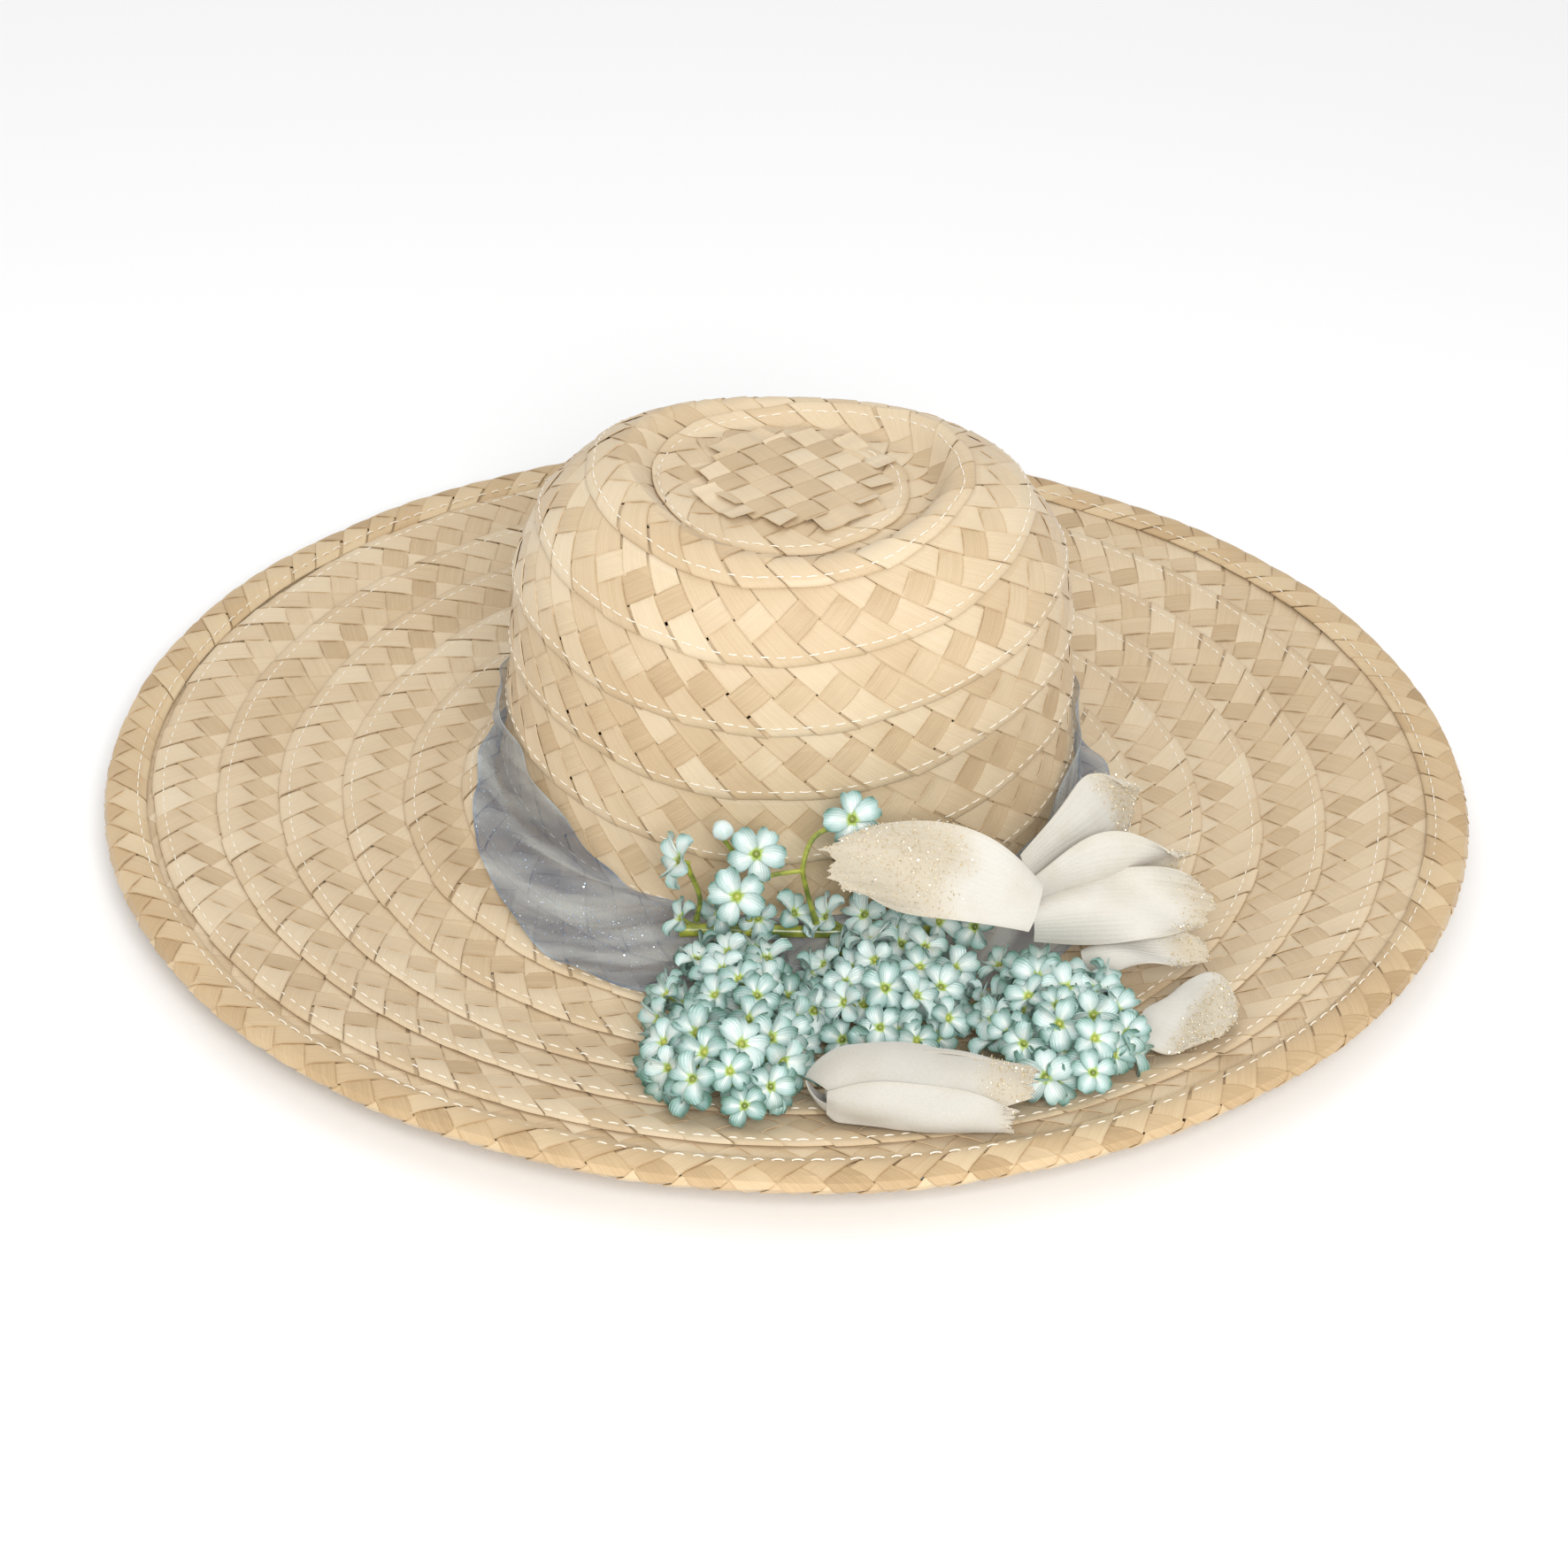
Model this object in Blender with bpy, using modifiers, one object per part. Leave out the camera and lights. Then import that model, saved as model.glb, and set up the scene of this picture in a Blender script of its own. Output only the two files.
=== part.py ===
"""Wide-brimmed sun hat, sewn from one long spiral of flat plaited palm-leaf braid.

The crown is an oval blocked dome with a pushed-in tip.  The braid winds outwards from the tip,
clockwise as seen from above, and each turn laps over the next one further out.  The rim is a folded
braid around a wire.  A sheer organza band lies round the crown and a spray of fabric flowers is sewn
to the front.

Units are metres and +Z is up.  The wearer faces -Y.  The hat stands on the lowest ring of its brim:
the origin is at the middle of the hat, on that surface.

Angles called theta run clockwise as seen from above, from 0 at the front (-Y), through the left of
the front view (-X).  A turn number of 1.25 is one turn and a quarter past the front.
"""
import math

import bmesh
import bpy
import numpy as np
from mathutils import Matrix, Vector

# ---------------------------------------------------------------- driving sizes
BRIM_RADIUS = 0.250          # centre to the outside of the rim
CROWN_HALF_WIDTH = 0.104     # outside of the crown at the brim, along X
CROWN_HALF_DEPTH = 0.088     # the same along Y
CROWN_HEIGHT = 0.14          # from the brim beside the crown up to the top of the crown
WALL_LEAN = math.radians(4)  # how far the crown's wall leans inwards
SHOULDER_RADIUS = 0.057      # rounding between the wall and the top
BREAK_RADIUS = 0.008         # rounding between the wall and the brim
DENT_INNER = 0.047           # radius of the flat floor of the pushed-in tip
DENT_OUTER = 0.061           # radius where the dent begins
DENT_DEPTH = 0.014
BREAK_HEIGHT = 0.005         # the brim starts this high beside the crown ...
DIP_INNER = 0.128            # ... sinks to a flat ring between these two radii ...
DIP_OUTER = 0.146
EDGE_RISE = 0.020            # ... and curls up to this height at the rim in front ...
EDGE_RISE_BACK = 0.0080      # ... and to this height at the back
RISE_FADE = 1.00             # power by which the curl fades from the front to the back

CROWN_TURNS = 7
BRIM_TURNS = 7
START_TURN = -6.5            # the first turn begins at the back of the tip
TIP_RADIUS = 0.0269          # plaited button over the start of the spiral
TIP_HOLE = 0.004             # the braid's inner edge keeps this far from the centre
BRAID_THICKNESS = 0.0012
CROWN_LAP = 0.0035           # how far a turn lies over the next one, on the crown
BRIM_LAP = 0.0075            # the same on the brim
LAP_RAMP = 0.003             # width of the step up into the lap
GAP = 0.0003                 # left between pieces that touch

BINDING_WIDTH_TOP = 0.015
BINDING_WIDTH_BELOW = 0.011
BINDING_CLEARANCE = 0.0005
WIRE_RADIUS = 0.0008
WIRE_INSET = 0.0029          # centre of the rim wire, in from the outside of the rim
BRAID_INSET = 0.0046         # the last turn stops this far inside the rim

BAND_WIDTH = 0.050
BAND_THICKNESS = 0.0005
BAND_CLEARANCE = 0.0014      # over the thickest lap of the straw
BAND_REST = 0.003            # the band's lower edge lies this far out of the crown's foot ...
BAND_SWEEP = 0.041           # ... and this much further where it sweeps over the front of the brim
BAND_SWEEP_AT = math.radians(-8)
BAND_SWEEP_SPREAD = math.radians(66)

SPRAY_LIFT = 0.0068          # the flowers lie this far above the brim, on the band
BLOSSOM_RADIUS = 0.0105
BLOSSOM_THICKNESS = 0.0022
STEM_RADIUS = 0.0009
PETAL_THICKNESS = 0.0006

SEGMENTS = 28                # facets per turn
MIN_STEP = 0.0008
FRONT = 0.0

# ---------------------------------------------------------------- colours and finishes
STRAW = ("straw", (0.62, 0.47, 0.29), 0.62, 0.0)
STRAW_EDGE = ("straw_binding", (0.55, 0.40, 0.23), 0.60, 0.0)
STEEL = ("rim_wire_steel", (0.45, 0.45, 0.45), 0.35, 1.0)
ORGANZA = ("organza", (0.27, 0.31, 0.33), 0.35, 0.0)
SATIN = ("blossom_satin", (0.44, 0.57, 0.54), 0.40, 0.0)
GREEN = ("stem_wrap", (0.30, 0.31, 0.06), 0.55, 0.0)
PETAL_CLOTH = ("petal_cloth", (0.66, 0.62, 0.53), 0.85, 0.0)


# ---------------------------------------------------------------- scene helpers
def clear_scene():
    """Remove every object of the start-up scene."""
    for obj in list(bpy.data.objects):
        bpy.data.objects.remove(obj, do_unlink=True)


def new_collection(name):
    """Return a new collection linked to the scene."""
    collection = bpy.data.collections.new(name)
    bpy.context.scene.collection.children.link(collection)
    return collection


def new_material(name, finish):
    """Return a Principled material of one node, from a (name, colour, roughness, metallic) finish."""
    _, colour, roughness, metallic = finish
    material = bpy.data.materials.new(f"{name}_{finish[0]}")
    material.use_nodes = True
    shader = material.node_tree.nodes["Principled BSDF"]
    shader.inputs["Base Color"].default_value = (*colour, 1.0)
    shader.inputs["Roughness"].default_value = roughness
    shader.inputs["Metallic"].default_value = metallic
    material.diffuse_color = (*colour, 1.0)
    return material


def add_object(collection, name, data, finish, smooth=True):
    """Link an object of the given mesh or curve, with a material of its own."""
    obj = bpy.data.objects.new(name, data)
    collection.objects.link(obj)
    data.materials.append(new_material(name, finish))
    if smooth and isinstance(data, bpy.types.Mesh):
        data.shade_smooth()
        data.set_sharp_from_angle(angle=math.radians(35))
    return obj


def mesh_from_bmesh(name, bm):
    """Turn a bmesh into a mesh with outward faces."""
    bmesh.ops.recalc_face_normals(bm, faces=bm.faces)
    mesh = bpy.data.meshes.new(name)
    bm.to_mesh(mesh)
    bm.free()
    return mesh


# ---------------------------------------------------------------- the blocked shape of the hat
def heading(theta):
    """Return the level unit vector from the centre towards theta."""
    return Vector((-math.sin(theta), -math.cos(theta), 0.0))


def sideways(theta):
    """Return the level unit vector in which theta grows."""
    return Vector((-math.cos(theta), math.sin(theta), 0.0))


def crown_foot(theta):
    """Return the radius of the crown's oval at the brim."""
    across = CROWN_HALF_DEPTH * math.sin(theta)
    along = CROWN_HALF_WIDTH * math.cos(theta)
    return CROWN_HALF_WIDTH * CROWN_HALF_DEPTH / math.hypot(across, along)


def ease(share):
    """Return a smooth step from 0 to 1."""
    return 0.5 - 0.5 * np.cos(np.pi * np.clip(share, 0.0, 1.0))


def brim_height(radius, brim_start, theta):
    """Return the brim's height at a radius, for a brim that leaves the crown at brim_start."""
    sink = BREAK_HEIGHT * (1.0 - ease((radius - brim_start) / (DIP_INNER - brim_start)))
    curl = EDGE_RISE_BACK + (EDGE_RISE - EDGE_RISE_BACK) * max(0.5 + 0.5 * math.cos(theta), 0.0) ** RISE_FADE
    return sink + curl * ease((radius - DIP_OUTER) / (BRIM_RADIUS - DIP_OUTER))


class Meridian:
    """The hat's surface along one direction, from the middle of the tip out to the rim."""

    def __init__(self, theta):
        foot = crown_foot(theta)
        top = CROWN_HEIGHT + BREAK_HEIGHT
        turn = math.pi / 2 - WALL_LEAN
        shoulder_z = top - SHOULDER_RADIUS
        wall_top_z = shoulder_z + SHOULDER_RADIUS * math.sin(WALL_LEAN)
        wall_top_r = foot - (wall_top_z - BREAK_HEIGHT) * math.tan(WALL_LEAN)
        shoulder_r = wall_top_r - SHOULDER_RADIUS * math.cos(WALL_LEAN)
        tangent = BREAK_RADIUS * math.tan(turn / 2)
        self.brim_start = foot + tangent

        flat = np.linspace(0.0, shoulder_r, 40, endpoint=False)
        arc = np.linspace(math.pi / 2, WALL_LEAN, 40)
        wall = np.linspace(wall_top_z, BREAK_HEIGHT + tangent * math.cos(WALL_LEAN), 20)[1:]
        fillet = np.linspace(math.pi + WALL_LEAN, 1.5 * math.pi, 14)[1:]
        brim = np.linspace(self.brim_start, BRIM_RADIUS, 90)[1:]
        radius = np.concatenate([
            flat,
            shoulder_r + SHOULDER_RADIUS * np.cos(arc),
            foot - (wall - BREAK_HEIGHT) * math.tan(WALL_LEAN),
            self.brim_start + BREAK_RADIUS * np.cos(fillet),
            brim,
        ])
        height = np.concatenate([
            np.full(len(flat), top),
            shoulder_z + SHOULDER_RADIUS * np.sin(arc),
            wall,
            BREAK_HEIGHT + BREAK_RADIUS + BREAK_RADIUS * np.sin(fillet),
            brim_height(brim, self.brim_start, theta),
        ])
        dented = radius < DENT_OUTER
        height = height - DENT_DEPTH * ease((DENT_OUTER - radius) / (DENT_OUTER - DENT_INNER)) * dented
        length = np.concatenate([[0.0], np.cumsum(np.hypot(np.diff(radius), np.diff(height)))])
        self.radius, self.height, self.length = radius, height, length
        self.total = length[-1]
        self.scale = 1.0

    def foot_distance(self):
        """Return the distance from the tip to the crown's foot, in shared units."""
        foot_radius = self.brim_start
        outer = np.argmax((self.radius >= foot_radius - 1e-9) & (self.height < BREAK_HEIGHT + BREAK_RADIUS))
        return self.length[outer] * self.scale

    def at(self, distance):
        """Return (radius, height, slope) at a distance from the tip, in shared units."""
        step = 0.0004
        own = distance / self.scale
        low, high = max(own - step, 0.0), min(own + step, self.total)
        radius = np.interp([low, own, high], self.length, self.radius)
        height = np.interp([low, own, high], self.length, self.height)
        return radius[1], height[1], math.atan2(height[2] - height[0], radius[2] - radius[0])


class HatSurface:
    """The blocked shape: a place on it is a distance from the tip, a direction and a lift."""

    def __init__(self):
        self.cache = {}
        self.edge = Meridian(FRONT).total
        self.crown_foot = self.meridian(FRONT).foot_distance()

    def meridian(self, theta):
        """Return the meridian at theta, scaled so that every one is as long as the front one."""
        key = round(theta % (2 * math.pi), 6)
        if key not in self.cache:
            line = Meridian(key)
            line.scale = self.edge / line.total
            self.cache[key] = line
        return self.cache[key]

    def place(self, distance, theta, lift=0.0):
        """Return the point at a distance from the tip, lifted along the outward normal."""
        radius, height, slope = self.meridian(theta).at(distance)
        radius -= lift * math.sin(slope)
        height += lift * math.cos(slope)
        return heading(theta) * radius + Vector((0.0, 0.0, height))

    def over_brim(self, x, y, lift):
        """Return the point straight above the brim at (x, y)."""
        radius = math.hypot(x, y)
        theta = math.atan2(-x, -y)
        height = float(brim_height(radius, self.meridian(theta).brim_start, theta))
        return Vector((x, y, height + lift))


# ---------------------------------------------------------------- the braid
class Braid:
    """Where the spiral braid runs: the seam of turn u is u turns past the crown's foot."""

    def __init__(self, surface):
        self.surface = surface
        self.start = TIP_RADIUS + CROWN_LAP + LAP_RAMP + GAP
        foot = surface.crown_foot - BREAK_RADIUS / 2
        self.crown_pitch = (foot - self.start) / -START_TURN
        self.first_brim = foot + self.crown_pitch
        self.brim_pitch = (surface.edge - self.first_brim) / (BRIM_TURNS - 1)
        self.stop = surface.edge - BRAID_INSET

    def outer(self, turn):
        """Return the distance of the braid's outer edge at a turn number."""
        if turn <= 1.0:
            return self.start + self.crown_pitch * (turn - START_TURN)
        return self.first_brim + self.brim_pitch * (turn - 1.0)

    @staticmethod
    def lap(turn):
        """Return how far the braid lies over its next turn."""
        share = min(max(turn, 0.0), 1.0)
        return CROWN_LAP + (BRIM_LAP - CROWN_LAP) * share

    def inner(self, turn):
        """Return the distance of the braid's inner edge, under the lap of the turn before."""
        return self.outer(turn - 1.0) - self.lap(turn - 1.0)

    def stations(self, turn, middle, last, first):
        """Return (distance, lift) across the braid, from its inner to its outer edge."""
        outer = min(self.outer(turn), self.stop)
        ramp_end = self.outer(turn) - self.lap(turn)
        inner = self.inner(turn)
        if first:
            inner = max(TIP_HOLE, min(inner, TIP_RADIUS - LAP_RAMP))
        marks = [inner, self.outer(turn - 1.0)]
        if middle:
            marks.append((self.outer(turn - 1.0) + ramp_end - LAP_RAMP) / 2)
        if not last:
            marks += [ramp_end - LAP_RAMP, ramp_end]
        marks.append(outer)
        for i in range(1, len(marks)):
            marks[i] = max(marks[i], marks[i - 1] + MIN_STEP)
        for i in range(len(marks) - 1, 0, -1):
            marks[i - 1] = min(marks[i - 1], marks[i] - MIN_STEP)
        step_up = BRAID_THICKNESS + GAP
        lifts = [0.0] * len(marks)
        if not last:
            lifts[-2:] = [step_up, step_up]
        return list(zip(marks, lifts))


def loft(bm, columns, closed):
    """Join equal rings of points, one after another, into a tube; cap its ends unless it closes.

    A ring is a strip's underside followed by its upper side in reverse.  Both sides are split along
    the same diagonal, so that two strips that lap keep their gap where the surface twists.
    """
    rings = [[bm.verts.new(point) for point in column] for column in columns]
    count = len(rings[0])
    pairs = list(zip(rings, rings[1:] + rings[:1]))
    if not closed:
        pairs.pop()
    for near, far in pairs:
        for i in range(count):
            j = (i + 1) % count
            if i < count // 2:
                bm.faces.new((near[i], near[j], far[j]))
                bm.faces.new((near[i], far[j], far[i]))
            else:
                bm.faces.new((near[i], near[j], far[i]))
                bm.faces.new((near[j], far[j], far[i]))
    if not closed:
        bm.faces.new(rings[0])
        bm.faces.new(rings[-1])


def braid_turn(collection, braid, name, start, middle, last=False):
    """Add one turn of the sewn braid, from a turn number on, as a solid strip with butt ends."""
    columns = []
    for i in range(SEGMENTS + 1):
        turn = start + i / SEGMENTS
        theta = 2 * math.pi * turn
        shift = sideways(theta) * (GAP / 2) * ((i == 0) - (i == SEGMENTS))
        stations = braid.stations(turn, middle, last, first=start == START_TURN)
        under = [braid.surface.place(s, theta, lift) + shift for s, lift in stations]
        over = [braid.surface.place(s, theta, lift + BRAID_THICKNESS) + shift for s, lift in stations]
        columns.append(under + over[::-1])
    bm = bmesh.new()
    loft(bm, columns, closed=False)
    add_object(collection, name, mesh_from_bmesh(name, bm), STRAW)


def crown_tip(collection):
    """Add the plaited button that closes the middle of the tip."""
    floor = CROWN_HEIGHT + BREAK_HEIGHT - DENT_DEPTH
    lift = BRAID_THICKNESS * 1.5 + GAP
    bm = bmesh.new()
    bmesh.ops.create_cone(bm, cap_ends=True, segments=SEGMENTS, radius1=TIP_RADIUS, radius2=TIP_RADIUS,
                          depth=BRAID_THICKNESS, matrix=Matrix.Translation((0, 0, floor + lift)))
    add_object(collection, "crown_tip_button", mesh_from_bmesh("crown_tip_button", bm), STRAW)


def rim_binding(collection, surface):
    """Add the folded braid round the rim, open towards the crown."""
    edge = surface.edge
    over = 2 * BRAID_THICKNESS + GAP + BINDING_CLEARANCE
    under = -BINDING_CLEARANCE
    wall = BRAID_THICKNESS
    middle = (over + under) / 2
    section = [
        (edge - BINDING_WIDTH_TOP, over),
        (edge - BINDING_WIDTH_TOP, over + wall),
        (edge - 2 * wall, over + wall),
        (edge - wall / 2, over),
        (edge, middle),
        (edge - wall / 2, under),
        (edge - 2 * wall, under - wall),
        (edge - BINDING_WIDTH_BELOW, under - wall),
        (edge - BINDING_WIDTH_BELOW, under),
        (edge - 2 * wall, under),
        (edge - wall, middle),
        (edge - 2 * wall, over),
    ]
    columns = []
    for i in range(SEGMENTS):
        theta = 2 * math.pi * i / SEGMENTS
        columns.append([surface.place(s, theta, lift) for s, lift in section])
    bm = bmesh.new()
    loft(bm, columns, closed=True)
    add_object(collection, "rim_binding", mesh_from_bmesh("rim_binding", bm), STRAW_EDGE)
    return middle


def tube(collection, name, points, radius, finish, cyclic=False):
    """Add a wire through the points, as a straight-sided curve with a round bevel."""
    curve = bpy.data.curves.new(name, "CURVE")
    curve.dimensions = "3D"
    curve.bevel_depth = radius
    curve.bevel_resolution = 1
    curve.use_fill_caps = True
    spline = curve.splines.new("POLY")
    spline.points.add(len(points) - 1)
    for knot, point in zip(spline.points, points):
        knot.co = (*point, 1.0)
    spline.use_cyclic_u = cyclic
    add_object(collection, name, curve, finish)


def rim_wire(collection, surface, lift):
    """Add the wire ring inside the folded rim."""
    points = [surface.place(surface.edge - WIRE_INSET, 2 * math.pi * i / SEGMENTS, lift)
              for i in range(SEGMENTS)]
    tube(collection, "rim_wire", points, WIRE_RADIUS, STEEL, cyclic=True)


# ---------------------------------------------------------------- the organza band
def band_lower_edge(surface, theta):
    """Return the distance of the band's lower edge from the tip."""
    away = (theta - BAND_SWEEP_AT + math.pi) % (2 * math.pi) - math.pi
    sweep = BAND_SWEEP * math.exp(-(away / BAND_SWEEP_SPREAD) ** 4)
    return surface.meridian(theta).foot_distance() + BAND_REST + sweep


def hat_band(collection, surface):
    """Add the organza band, a thin closed ring that sweeps out over the front of the brim."""
    lift = 2 * BRAID_THICKNESS + GAP + BAND_CLEARANCE
    across = 5
    columns = []
    for i in range(SEGMENTS):
        theta = 2 * math.pi * i / SEGMENTS
        low = band_lower_edge(surface, theta)
        marks = [low - BAND_WIDTH * k / (across - 1) for k in range(across)]
        inside = [surface.place(s, theta, lift) for s in marks]
        outside = [surface.place(s, theta, lift + BAND_THICKNESS) for s in marks]
        columns.append(inside + outside[::-1])
    bm = bmesh.new()
    loft(bm, columns, closed=True)
    add_object(collection, "organza_band", mesh_from_bmesh("organza_band", bm), ORGANZA)


# ---------------------------------------------------------------- the flower spray
def mound(collection, surface, name, centre, half_size, turned, height, finish):
    """Add a low dome that follows the brim: the outer shape of a cluster of small pieces."""
    spokes, rings, rim = 14, 3, 0.002
    cos_t, sin_t = math.cos(turned), math.sin(turned)

    def point(share, spoke, dome):
        angle = 2 * math.pi * spoke / spokes
        along, across = half_size[0] * share * math.cos(angle), half_size[1] * share * math.sin(angle)
        x = centre[0] + along * cos_t - across * sin_t
        y = centre[1] + along * sin_t + across * cos_t
        lift = SPRAY_LIFT + (rim + height * math.sqrt(1 - share * share) if dome else 0.0)
        return surface.over_brim(x, y, lift)

    bm = bmesh.new()
    layers = []
    for dome in (False, True):
        middle = bm.verts.new(point(0.0, 0, dome))
        hoops = [[bm.verts.new(point((k + 1) / rings, n, dome)) for n in range(spokes)]
                 for k in range(rings)]
        layers.append(hoops[-1])
        for n in range(spokes):
            after = (n + 1) % spokes
            bm.faces.new((middle, hoops[0][n], hoops[0][after]))
            for inner, outer in zip(hoops, hoops[1:]):
                bm.faces.new((inner[n], outer[n], outer[after], inner[after]))
    for n in range(spokes):
        after = (n + 1) % spokes
        bm.faces.new((layers[0][n], layers[1][n], layers[1][after], layers[0][after]))
    add_object(collection, name, mesh_from_bmesh(name, bm), finish)


def blossom(collection, name, centre, facing):
    """Add one small five-petalled blossom as a lobed disc, square to its facing direction."""
    points, dip = 20, 0.16
    bm = bmesh.new()
    turn = Vector((0, 0, 1)).rotation_difference(Vector(facing).normalized()).to_matrix().to_4x4()
    bmesh.ops.create_cone(bm, cap_ends=True, segments=points, radius1=BLOSSOM_RADIUS,
                          radius2=BLOSSOM_RADIUS, depth=BLOSSOM_THICKNESS)
    for vert in bm.verts:
        angle = math.atan2(vert.co.y, vert.co.x)
        reach = 1.0 - dip * (0.5 - 0.5 * math.cos(5 * angle))
        vert.co.x *= reach
        vert.co.y *= reach
    bmesh.ops.transform(bm, matrix=Matrix.Translation(centre) @ turn, verts=bm.verts)
    add_object(collection, name, mesh_from_bmesh(name, bm), SATIN)


def bud(collection, name, centre, radius):
    """Add a closed bud."""
    bm = bmesh.new()
    bmesh.ops.create_uvsphere(bm, u_segments=8, v_segments=6, radius=radius,
                              matrix=Matrix.Translation(centre))
    add_object(collection, name, mesh_from_bmesh(name, bm), SATIN)


def petal(collection, name, root, belly, tip, side, width):
    """Add a cloth petal along a bent line from its root over its belly to its tip."""
    root, belly, tip = Vector(root), Vector(belly), Vector(tip)
    side = Vector(side).normalized()
    along, across = 6, 4
    bm = bmesh.new()
    rows = []
    for i in range(along + 1):
        t = i / along
        spine = root * (1 - t) ** 2 + belly * 2 * t * (1 - t) + tip * t * t
        half = 0.5 * width * (0.30 + 0.70 * math.sin(math.pi * min(0.12 + 0.80 * t, 1.0)))
        if i == along:
            half *= 0.7
        rows.append([bm.verts.new(spine + side * half * (2 * k / across - 1)) for k in range(across + 1)])
    for lower, upper in zip(rows, rows[1:]):
        for k in range(across):
            bm.faces.new((lower[k], lower[k + 1], upper[k + 1], upper[k]))
    obj = add_object(collection, name, mesh_from_bmesh(name, bm), PETAL_CLOTH)
    shell = obj.modifiers.new("thickness", "SOLIDIFY")
    shell.thickness = PETAL_THICKNESS
    shell.offset = 0.0


SPRAY_STEM = ((-0.036, -0.106), (-0.014, -0.1065), (0.010, -0.1065), (0.038, -0.104), (0.066, -0.098))

SPRIGS = (
    # name, stem route from the spray's stem, centre of the blossom, its facing
    ("sprig_side", ((-0.030, -0.1115, 0.022), (-0.029, -0.114, 0.034), (-0.0335, -0.1147, 0.0470)),
     (-0.0352, -0.1150, 0.0490), (-0.85, -0.30, 0.40)),
    ("sprig_back", ((-0.012, -0.1110, 0.022), (-0.0105, -0.1095, 0.036), (-0.0102, -0.1098, 0.0482)),
     (-0.0100, -0.1120, 0.0505), (0.10, -0.80, 0.58)),
    ("sprig_front", ((-0.018, -0.1125, 0.022), (-0.0175, -0.1160, 0.034), (-0.0165, -0.1225, 0.0400)),
     (-0.0160, -0.1250, 0.0420), (-0.05, -0.78, 0.62)),
    ("sprig_top", ((0.011, -0.1115, 0.022), (0.0075, -0.1115, 0.036), (0.0060, -0.1105, 0.0460),
                   (0.0105, -0.1070, 0.0570), (0.0200, -0.1055, 0.0605)),
     (0.0220, -0.1080, 0.0630), (0.15, -0.75, 0.64)),
)

PETALS = (
    # name, root, belly, tip, side, width
    ("petal_left", (0.085, -0.1290, 0.044), (0.055, -0.1300, 0.066), (0.012, -0.1230, 0.0560),
     (0.10, -0.80, -0.60), 0.034),
    ("petal_upper", (0.084, -0.1040, 0.040), (0.105, -0.0900, 0.046), (0.124, -0.0680, 0.0440),
     (0.45, 0.45, 0.75), 0.038),
    ("petal_right_upper", (0.090, -0.1080, 0.034), (0.115, -0.0980, 0.040), (0.140, -0.0820, 0.0300),
     (0.35, 0.55, -0.70), 0.020),
    ("petal_right_lower", (0.092, -0.1130, 0.028), (0.120, -0.1090, 0.036), (0.148, -0.1030, 0.0240),
     (0.10, 0.75, 0.60), 0.020),
    ("petal_right_foot", (0.102, -0.1170, 0.016), (0.120, -0.1180, 0.024), (0.146, -0.1200, 0.0180),
     (0.05, 0.95, 0.20), 0.014),
    ("petal_low", (0.121, -0.1500, 0.017), (0.132, -0.1560, 0.024), (0.148, -0.1660, 0.0220),
     (0.55, 0.80, 0.05), 0.040),
)


def flower_spray(collection, surface):
    """Add the spray: taped stem, clusters of blossoms, free sprigs, cloth petals and the rose bud."""
    route = [surface.over_brim(x, y, SPRAY_LIFT + 0.004)
             for x, y in SPRAY_STEM]
    tube(collection, "spray_stem", route, 0.0022, GREEN)
    mound(collection, surface, "blossom_cluster_left", (-0.0175, -0.166), (0.0250, 0.0520), 0.0, 0.020, SATIN)
    mound(collection, surface, "blossom_cluster_middle", (0.0365, -0.141), (0.0280, 0.0290), 0.0, 0.019,
          SATIN)
    mound(collection, surface, "blossom_cluster_right", (0.0925, -0.163), (0.0225, 0.0410),
          math.radians(8), 0.019, SATIN)
    mound(collection, surface, "rose_bud", (0.0415, -0.2035), (0.0310, 0.0190), math.radians(-8),
          0.020, PETAL_CLOTH)
    for name, stem, centre, facing in SPRIGS:
        tube(collection, f"{name}_stem", [Vector(p) for p in stem], STEM_RADIUS, GREEN)
        blossom(collection, f"{name}_blossom", centre, facing)
    bud(collection, "sprig_bud", (-0.0215, -0.1120, 0.0600), 0.0035)
    for name, root, belly, tip, side, width in PETALS:
        petal(collection, name, root, belly, tip, side, width)


# ---------------------------------------------------------------- the whole hat
def build():
    """Build every piece of the hat."""
    clear_scene()
    collection = new_collection("straw_sun_hat")
    surface = HatSurface()
    braid = Braid(surface)

    crown_tip(collection)
    for number in range(CROWN_TURNS):
        braid_turn(collection, braid, f"crown_turn_{number + 1}", START_TURN + number, middle=True)
    for number in range(BRIM_TURNS):
        braid_turn(collection, braid, f"brim_turn_{number + 1}", START_TURN + CROWN_TURNS + number,
                   middle=number == 0, last=number == BRIM_TURNS - 1)
    middle = rim_binding(collection, surface)
    rim_wire(collection, surface, middle)
    hat_band(collection, surface)
    flower_spray(collection, surface)


build()
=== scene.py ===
"""Looks of a wide-brimmed sun hat, sewn from one long spiral of flat plaited palm-leaf braid.

A sheer organza band lies round the crown, and a spray of cloth flowers is sewn to the front.
Units are metres and +Z is up.  The wearer faces -Y, and the hat stands on the lowest ring of its brim.
Angles called theta run clockwise as seen from above, from 0 at the front (-Y) through -X.
A turn number of 1.25 is one turn and a quarter past the front, counted from the crown's foot.
"""
import logging
import math
from dataclasses import dataclass
from enum import Enum

import bmesh
import bpy
import numpy as np
from mathutils import Matrix, Vector


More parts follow.
